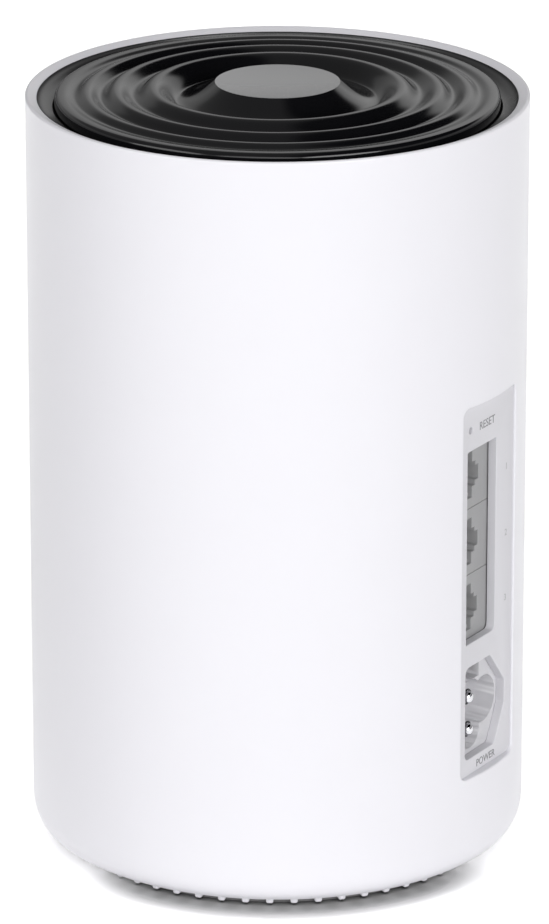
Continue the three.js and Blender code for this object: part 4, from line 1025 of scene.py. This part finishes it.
inlet = {
    "left": -0.0112,
    "right": 0.01115,
    "low": 0.0312,
    "high": 0.0579,
    "face": 0.05765,
    "thickness": 0.00255,
    "pinX": -0.00325,
    "pinLow": 0.0382,
    "pinHigh": 0.0468,
    "pinRadius": 0.0016,
    "pinTip": 0.0583,
    "pinGroove": 0.0003,
    "pinTail": 0.0414,
    "tipShare": 0.75,  # the rounded tip's height, as a share of the pin's radius
    "tailShare": 0.8,  # the tail's end face, as a share of the pin's radius
    "pinShadeRing": 0.0018,  # middle radius of the black ring of painted shade round each pin's tip
    "pinShadeRingWidth": 0.0005,
    "cavityRadius": 0.0048,
    "cavityDepth": 0.012,
    "cavityWall": 0.0014,
    "reliefX": 0.00295,
    "reliefY": 0.0445,
    "reliefRadius": 0.0061,
    "reliefDepth": 0.009,
    "reliefWall": 0.001,
    "slotLow": 0.0514,
    "slotHigh": 0.056,
    "slotRight": 0.00085,
    "slotLeft": -0.00995,
    "edge": 0.0003,
    "edgeSteps": 3,
    "edgeAngle": 40,  # edges sharper than this are rounded
    "toolEdge": 0.00001,
    "overlap": 0.001,  # how far joined solids reach into each other
    "past": 0.003,  # how far a cut runs past what it cuts
    "cavitySteps": 32,
    "reliefSides": 60,
    "holeSides": 24,
    "pinSides": 48,
    "tipSteps": 12,
    "ringSides": 12,
}


# A sharp-edged block of an outline between two depths of the bay.
def makeBlock(name, loop, low, high):
    mesh = thickPlate(name, loop, [], low, high, inlet["toolEdge"], edgeSteps=0)
    return linkPiece(name, weldAndSmooth(mesh, sharpAngle=40))


# A flange joined with a body round the pins and a boss round the relief. The pins' cavity, with two
# half-circle ends, the round relief, the slot and the pins' holes are cut out and sharp edges rounded.
def makeInlet(spec):
    face, back = spec["face"], spec["face"] - spec["thickness"]
    cavityBack, front = face - spec["cavityDepth"], face + spec["past"]
    wall, r, pinX = spec["cavityWall"], spec["cavityRadius"], spec["pinX"]
    place, reliefBack = (spec["reliefX"], spec["reliefY"]), face - spec["reliefDepth"]
    plate = rectangle(spec["left"], spec["low"], spec["right"], spec["high"])
    flange = makeBlock("flange", plate, back, face)
    body = rectangle(spec["left"], spec["pinLow"] - r - wall, pinX + r + wall, spec["pinHigh"] + r + wall)
    boss = circle(*place, spec["reliefRadius"] + spec["reliefWall"], spec["reliefSides"])
    added = [
        makeBlock("body", body, cavityBack - wall, back + spec["overlap"]),
        makeBlock("boss", boss, reliefBack - spec["reliefWall"], back + spec["overlap"]),
    ]
    cavity = np.vstack([arc(pinX, spec["pinHigh"], r, r, 0, 180, spec["cavitySteps"]),
                        arc(pinX, spec["pinLow"], r, r, 180, 360, spec["cavitySteps"])])
    relief = circle(*place, spec["reliefRadius"], spec["reliefSides"])
    slot = rectangle(spec["slotLeft"], spec["slotLow"], spec["slotRight"], spec["slotHigh"])
    cuts = [
        makeBlock("cavity", cavity, cavityBack, front),
        makeBlock("relief", relief, reliefBack, front),
        makeBlock("slot", slot, back - spec["past"], front),
    ]
    for up in (spec["pinLow"], spec["pinHigh"]):
        hole = circle(pinX, up, spec["pinRadius"] + spec["pinGroove"], spec["holeSides"])
        cuts.append(makeBlock("pinHole", hole, cavityBack - wall - spec["past"],
                              cavityBack + spec["overlap"]))
    for operation, tools in (("UNION", added), ("DIFFERENCE", cuts)):
        for tool in tools:
            combine(flange, tool, operation)
    bevel = flange.modifiers.new("edge", "BEVEL")
    bevel.width = spec["edge"]
    bevel.segments = spec["edgeSteps"]
    bevel.limit_method = "ANGLE"
    bevel.angle_limit = math.radians(spec["edgeAngle"])
    applyModifiers(flange)
    flange.data.transform(bayTurn)
    weldAndSmooth(flange.data)
    flange.name = "inlet_skin"
    return flange


settle(makeInlet(inlet), "inletPlastic", ["inlet_housing"])


# A pin is a turned rod with a small chamfer at its tail and a groove behind its quarter-ellipse tip.
def makePin(spec, number, up):
    r, tail, groove = spec["pinRadius"], spec["pinTail"], spec["pinGroove"]
    tipHeight, tailRadius = r * spec["tipShare"], r * spec["tailShare"]
    neck = spec["pinTip"] - tipHeight
    profile = np.vstack([
        [[0, tail], [tailRadius, tail], [r, tail + r - tailRadius]],
        [[r, neck - 3 * groove], [r - groove, neck - 2 * groove], [r - groove, neck - groove]],
        arc(0, neck, r, tipHeight, 0, 90, spec["tipSteps"]),
    ])
    mesh = turnedMesh("pin", profile, spec["pinSides"], sharpAngle=40)
    return bayPiece("inlet_pin_skin_%d" % number, mesh, spec["pinX"], up)


# A black ring round each pin's tip that stands in as painted shade for the dark outline there: a circle of
# the ring's half width carried round the pin.
def makePinShadeRing(spec, number, up):
    profile = circle(spec["pinShadeRing"], spec["pinTip"] - spec["pinRadius"], spec["pinShadeRingWidth"] / 2,
                     spec["ringSides"])
    mesh = turnedMesh("pinShadeRing", profile, spec["pinSides"], closed=True)
    return bayPiece("pin_shade_ring_%d" % number, mesh, spec["pinX"], up)


for number, up in enumerate((inlet["pinLow"], inlet["pinHigh"]), 1):
    settle(makePin(inlet, number, up), "pinPlating", ["inlet_pin_%d" % number])
    # the black ring is painted shade round the pin's tip, not a real part
    settle(makePinShadeRing(inlet, number, up), "chipBlack")
print("inlet made")


# Printed words and numbers on the panel

labels = {
    "depth": 0.00003,
    "curveSteps": 4,
    # name, text, place to the right and up, size and finish
    "words": (
        ("label_reset", "RESET", -0.00055, 0.1183, 0.0029, "labelGrey"),
        ("label_power", "POWER", 0.00035, 0.0300, 0.0027, "labelGrey"),
        ("label_one", "1", 0.00945, 0.1041, 0.0024, "numberGrey"),
        ("label_two", "2", 0.00945, 0.0868, 0.0024, "numberGrey"),
        ("label_three", "3", 0.00945, 0.0697, 0.0024, "numberGrey"),
    ),
}


# A text centred on its place, as thick as twice the depth, with its back on the panel's face.
def makeLabel(name, words, right, up, size, finish):
    text = bpy.data.curves.new(name, "FONT")
    text.body = words
    text.size = size
    text.align_x = "CENTER"
    text.align_y = "CENTER"
    text.extrude = labels["depth"]
    text.resolution_u = labels["curveSteps"]
    piece = bayPiece(name, meshOfCurve(text), right, up, panel["face"] + labels["depth"])
    settle(piece, finish)


for row in labels["words"]:
    makeLabel(*row)
print("labels made")


# Finishes for the nodes that stay as they are

nodeFinish = {
    "inner_frame": "framePlastic", "reset_switch": "chipBlack", "reset_button": "whiteRib",
    "main_board": "boardGreen", "power_board": "boardGreen", "processor": "chipBlack",
    "thermal_pad": "padSilicone", "main_heat_sink": "sinkAluminium", "rear_heat_sink": "sinkAluminium",
    "switch_heat_sink": "sinkAluminium", "power_link": "canBlue", "line_choke": "ferrite",
    "line_capacitor": "filmYellow", "fuse": "fuseGlass", "bulk_capacitor": "canBlue",
    "power_transformer": "ferrite",
}
numberedNodes = {
    # stem of the names: how many there are, and their finish
    "base_screw": (4, "screwSteel"), "antenna": (4, "boardGreen"), "line_transformer": (3, "chipBlack"),
    "radio_shield": (3, "shieldTin"), "memory_chip": (2, "chipBlack"), "output_capacitor": (2, "canBlue"),
}
for stem, (count, finish) in numberedNodes.items():
    nodeFinish.update({"%s_%d" % (stem, i + 1): finish for i in range(count)})
for name, finish in nodeFinish.items():
    cadNodes[name].data.materials.clear()
    cadNodes[name].data.materials.append(made[finish])
print("inner nodes finished:", len(nodeFinish))


# Floor, sky and lamps

studio = {
    "floorSize": 6.0,
    "floorColour": 0.8,
    "floorSeen": 2.35,  # what the camera and gloss see of the floor, against what lights the part
    # the contact keys set a contact shadow painted into the floor's colour from ambient occlusion
    "contactReach": 0.0066,
    "contactSamples": 16,
    "contactPower": 1.8,
    "contactAxis": 4,  # degrees from the camera's azimuth to the middle of the contact shade
    "contactSpan": (0.45, 0.85),  # cosines of the angles from that axis between which the shade sets in
    "sky": 0.2,
    "skyFlag": (0.02, 0.2),  # how far a direction points right, where the overhead light is flagged off
    "screen": 0.95,  # a bright screen stands behind the part
    "screenLow": (0.05, 0.3, 0.35),  # sines of the elevations where it brightens, and its share below
    "screenHigh": (0.4, 0.52),  # sines of the elevations where it ends
    "screenLeft": (-0.2, 0.2, 0.45),  # how far right it brightens, and its share on the left
    "screenRight": (0.55, 0.9, 0.5),  # how far right it dims again, and its share there
}


# A Math node of two operands, each a constant on its socket or a link.
def addMath(tree, operation, first, second):
    node = tree.nodes.new("ShaderNodeMath")
    node.operation = operation
    for socket, value in zip(node.inputs, (first, second)):
        if isinstance(value, (int, float)):
            socket.default_value = value
        else:
            tree.links.new(value, socket)
    return node.outputs["Value"]


# A smooth step of a value: toMin below fromMin, toMax above fromMax, t t (3 - 2 t) of the way between.
def addRamp(tree, value, fromMin, fromMax, toMin=0.0, toMax=1.0):
    node = tree.nodes.new("ShaderNodeMapRange")
    node.interpolation_type = "SMOOTHSTEP"
    for name, number in zip(("From Min", "From Max", "To Min", "To Max"), (fromMin, fromMax, toMin, toMax)):
        node.inputs[name].default_value = number
    tree.links.new(value, node.inputs["Value"])
    return node.outputs["Result"]


# How far a vector points along a direction: their dot product.
def addDot(tree, value, direction):
    node = tree.nodes.new("ShaderNodeVectorMath")
    node.operation = "DOT_PRODUCT"
    node.inputs[1].default_value = direction
    tree.links.new(value, node.inputs[0])
    return node.outputs["Value"]


# The floor's colour is plain where it lights the part. The camera and gloss see floorSeen times the open
# share round each point, raised to a power that grows towards the camera's side: a contact shadow painted
# into the floor's colour, deepest there.
def makeFloor(spec):
    half = spec["floorSize"] / 2
    corners = np.array([[x, y, 0] for x, y in rectangle(-half, -half, half, half)])
    floor = linkPiece("floor", meshOf("floor", corners, [[0, 1, 2, 3]]))
    material = bpy.data.materials.new("floorWhite")
    material.use_nodes = True
    tree = material.node_tree
    nodes, links = tree.nodes, tree.links
    nodes.remove(nodes["Principled BSDF"])
    diffuse = nodes.new("ShaderNodeBsdfDiffuse")
    path = nodes.new("ShaderNodeLightPath")
    contact = nodes.new("ShaderNodeAmbientOcclusion")
    contact.samples = spec["contactSamples"]
    contact.inputs["Distance"].default_value = spec["contactReach"]
    place = nodes.new("ShaderNodeTexCoord")
    level = nodes.new("ShaderNodeVectorMath")
    level.operation = "NORMALIZE"
    links.new(place.outputs["Object"], level.inputs[0])
    side = addDot(tree, level.outputs["Vector"], fromCamera(spec["contactAxis"]))
    power = addMath(tree, "MULTIPLY", addRamp(tree, side, *spec["contactSpan"]), spec["contactPower"])
    paintedShade = addMath(tree, "POWER", contact.outputs["AO"], power)
    mix = nodes.new("ShaderNodeMix")
    mix.data_type = "RGBA"
    mix.inputs["A"].default_value = (spec["floorColour"], spec["floorColour"], spec["floorColour"], 1)
    links.new(addMath(tree, "MULTIPLY", paintedShade, spec["floorSeen"]), mix.inputs["B"])
    onShow = addMath(tree, "MAXIMUM", path.outputs["Is Camera Ray"], path.outputs["Is Glossy Ray"])
    links.new(onShow, mix.inputs["Factor"])
    links.new(mix.outputs["Result"], diffuse.inputs["Color"])
    links.new(diffuse.outputs["BSDF"], nodes["Material Output"].inputs["Surface"])
    floor.data.materials.append(material)


# The sky is dim overhead, where a flag holds it off on the right. Below, a bright screen stands behind
# the part: its light is the ramp up from the floor times the ramps at its left and right ends. The
# camera sees plain white.
def makeSky(spec):
    world = bpy.data.worlds.new("studio")
    scene.world = world
    world.use_nodes = True
    tree = world.node_tree
    nodes, links = tree.nodes, tree.links
    place = nodes.new("ShaderNodeTexCoord")
    split = nodes.new("ShaderNodeSeparateXYZ")
    links.new(place.outputs["Generated"], split.inputs["Vector"])
    right = addDot(tree, place.outputs["Generated"], fromCamera(90))
    lowStart, lowEnd, lowShare = spec["screenLow"]
    rightStart, rightEnd, rightShare = spec["screenRight"]
    low = addRamp(tree, split.outputs["Z"], lowStart, lowEnd, lowShare * spec["screen"], spec["screen"])
    across = addMath(tree, "MULTIPLY", addRamp(tree, right, *spec["screenLeft"]),
                     addRamp(tree, right, rightStart, rightEnd, 1, rightShare))
    total = nodes.new("ShaderNodeMix")
    total.data_type = "RGBA"
    links.new(addRamp(tree, split.outputs["Z"], *spec["screenHigh"]), total.inputs["Factor"])
    links.new(addMath(tree, "MULTIPLY", low, across), total.inputs["A"])
    links.new(addRamp(tree, right, *spec["skyFlag"], spec["sky"], 0), total.inputs["B"])
    path = nodes.new("ShaderNodeLightPath")
    seen = nodes.new("ShaderNodeMix")
    seen.data_type = "RGBA"
    seen.inputs["B"].default_value = (1, 1, 1, 1)
    links.new(path.outputs["Is Camera Ray"], seen.inputs["Factor"])
    links.new(total.outputs["Result"], seen.inputs["A"])
    links.new(seen.outputs["Result"], nodes["Background"].inputs["Color"])
    nodes["Background"].inputs["Strength"].default_value = 1


makeFloor(studio)
makeSky(studio)

lamps = {
    # azimuth in degrees from the camera's own, towards the picture's right; gloss: whether gloss shows it
    "frontRight": {"azimuth": 34, "elevation": 16, "strength": 1.62, "angle": 40, "gloss": True},
    "front": {"azimuth": -10, "elevation": 16, "strength": 0.62, "angle": 40, "gloss": True},
    "left": {"azimuth": -60, "elevation": 16, "strength": 0.86, "angle": 40, "gloss": True},
    "back": {"azimuth": 180, "elevation": 16, "strength": 0.95, "angle": 40, "gloss": False},
}


# A sun lamp that shines from its azimuth and elevation: the level direction times cos, and sin upwards.
def makeLamp(name, spec):
    data = bpy.data.lights.new(name, "SUN")
    data.energy = spec["strength"]
    data.angle = math.radians(spec["angle"])
    lamp = linkPiece(name, data)
    x, y, _ = fromCamera(spec["azimuth"])
    lift = math.radians(spec["elevation"])
    away = Vector((x * math.cos(lift), y * math.cos(lift), math.sin(lift)))
    lamp.location = away
    lamp.rotation_mode = "QUATERNION"
    lamp.rotation_quaternion = (-away).to_track_quat("-Z", "Y")
    lamp.visible_glossy = spec["gloss"]


for name, spec in lamps.items():
    makeLamp(name, spec)
scene.view_settings.view_transform = "Standard"
print("studio lit")
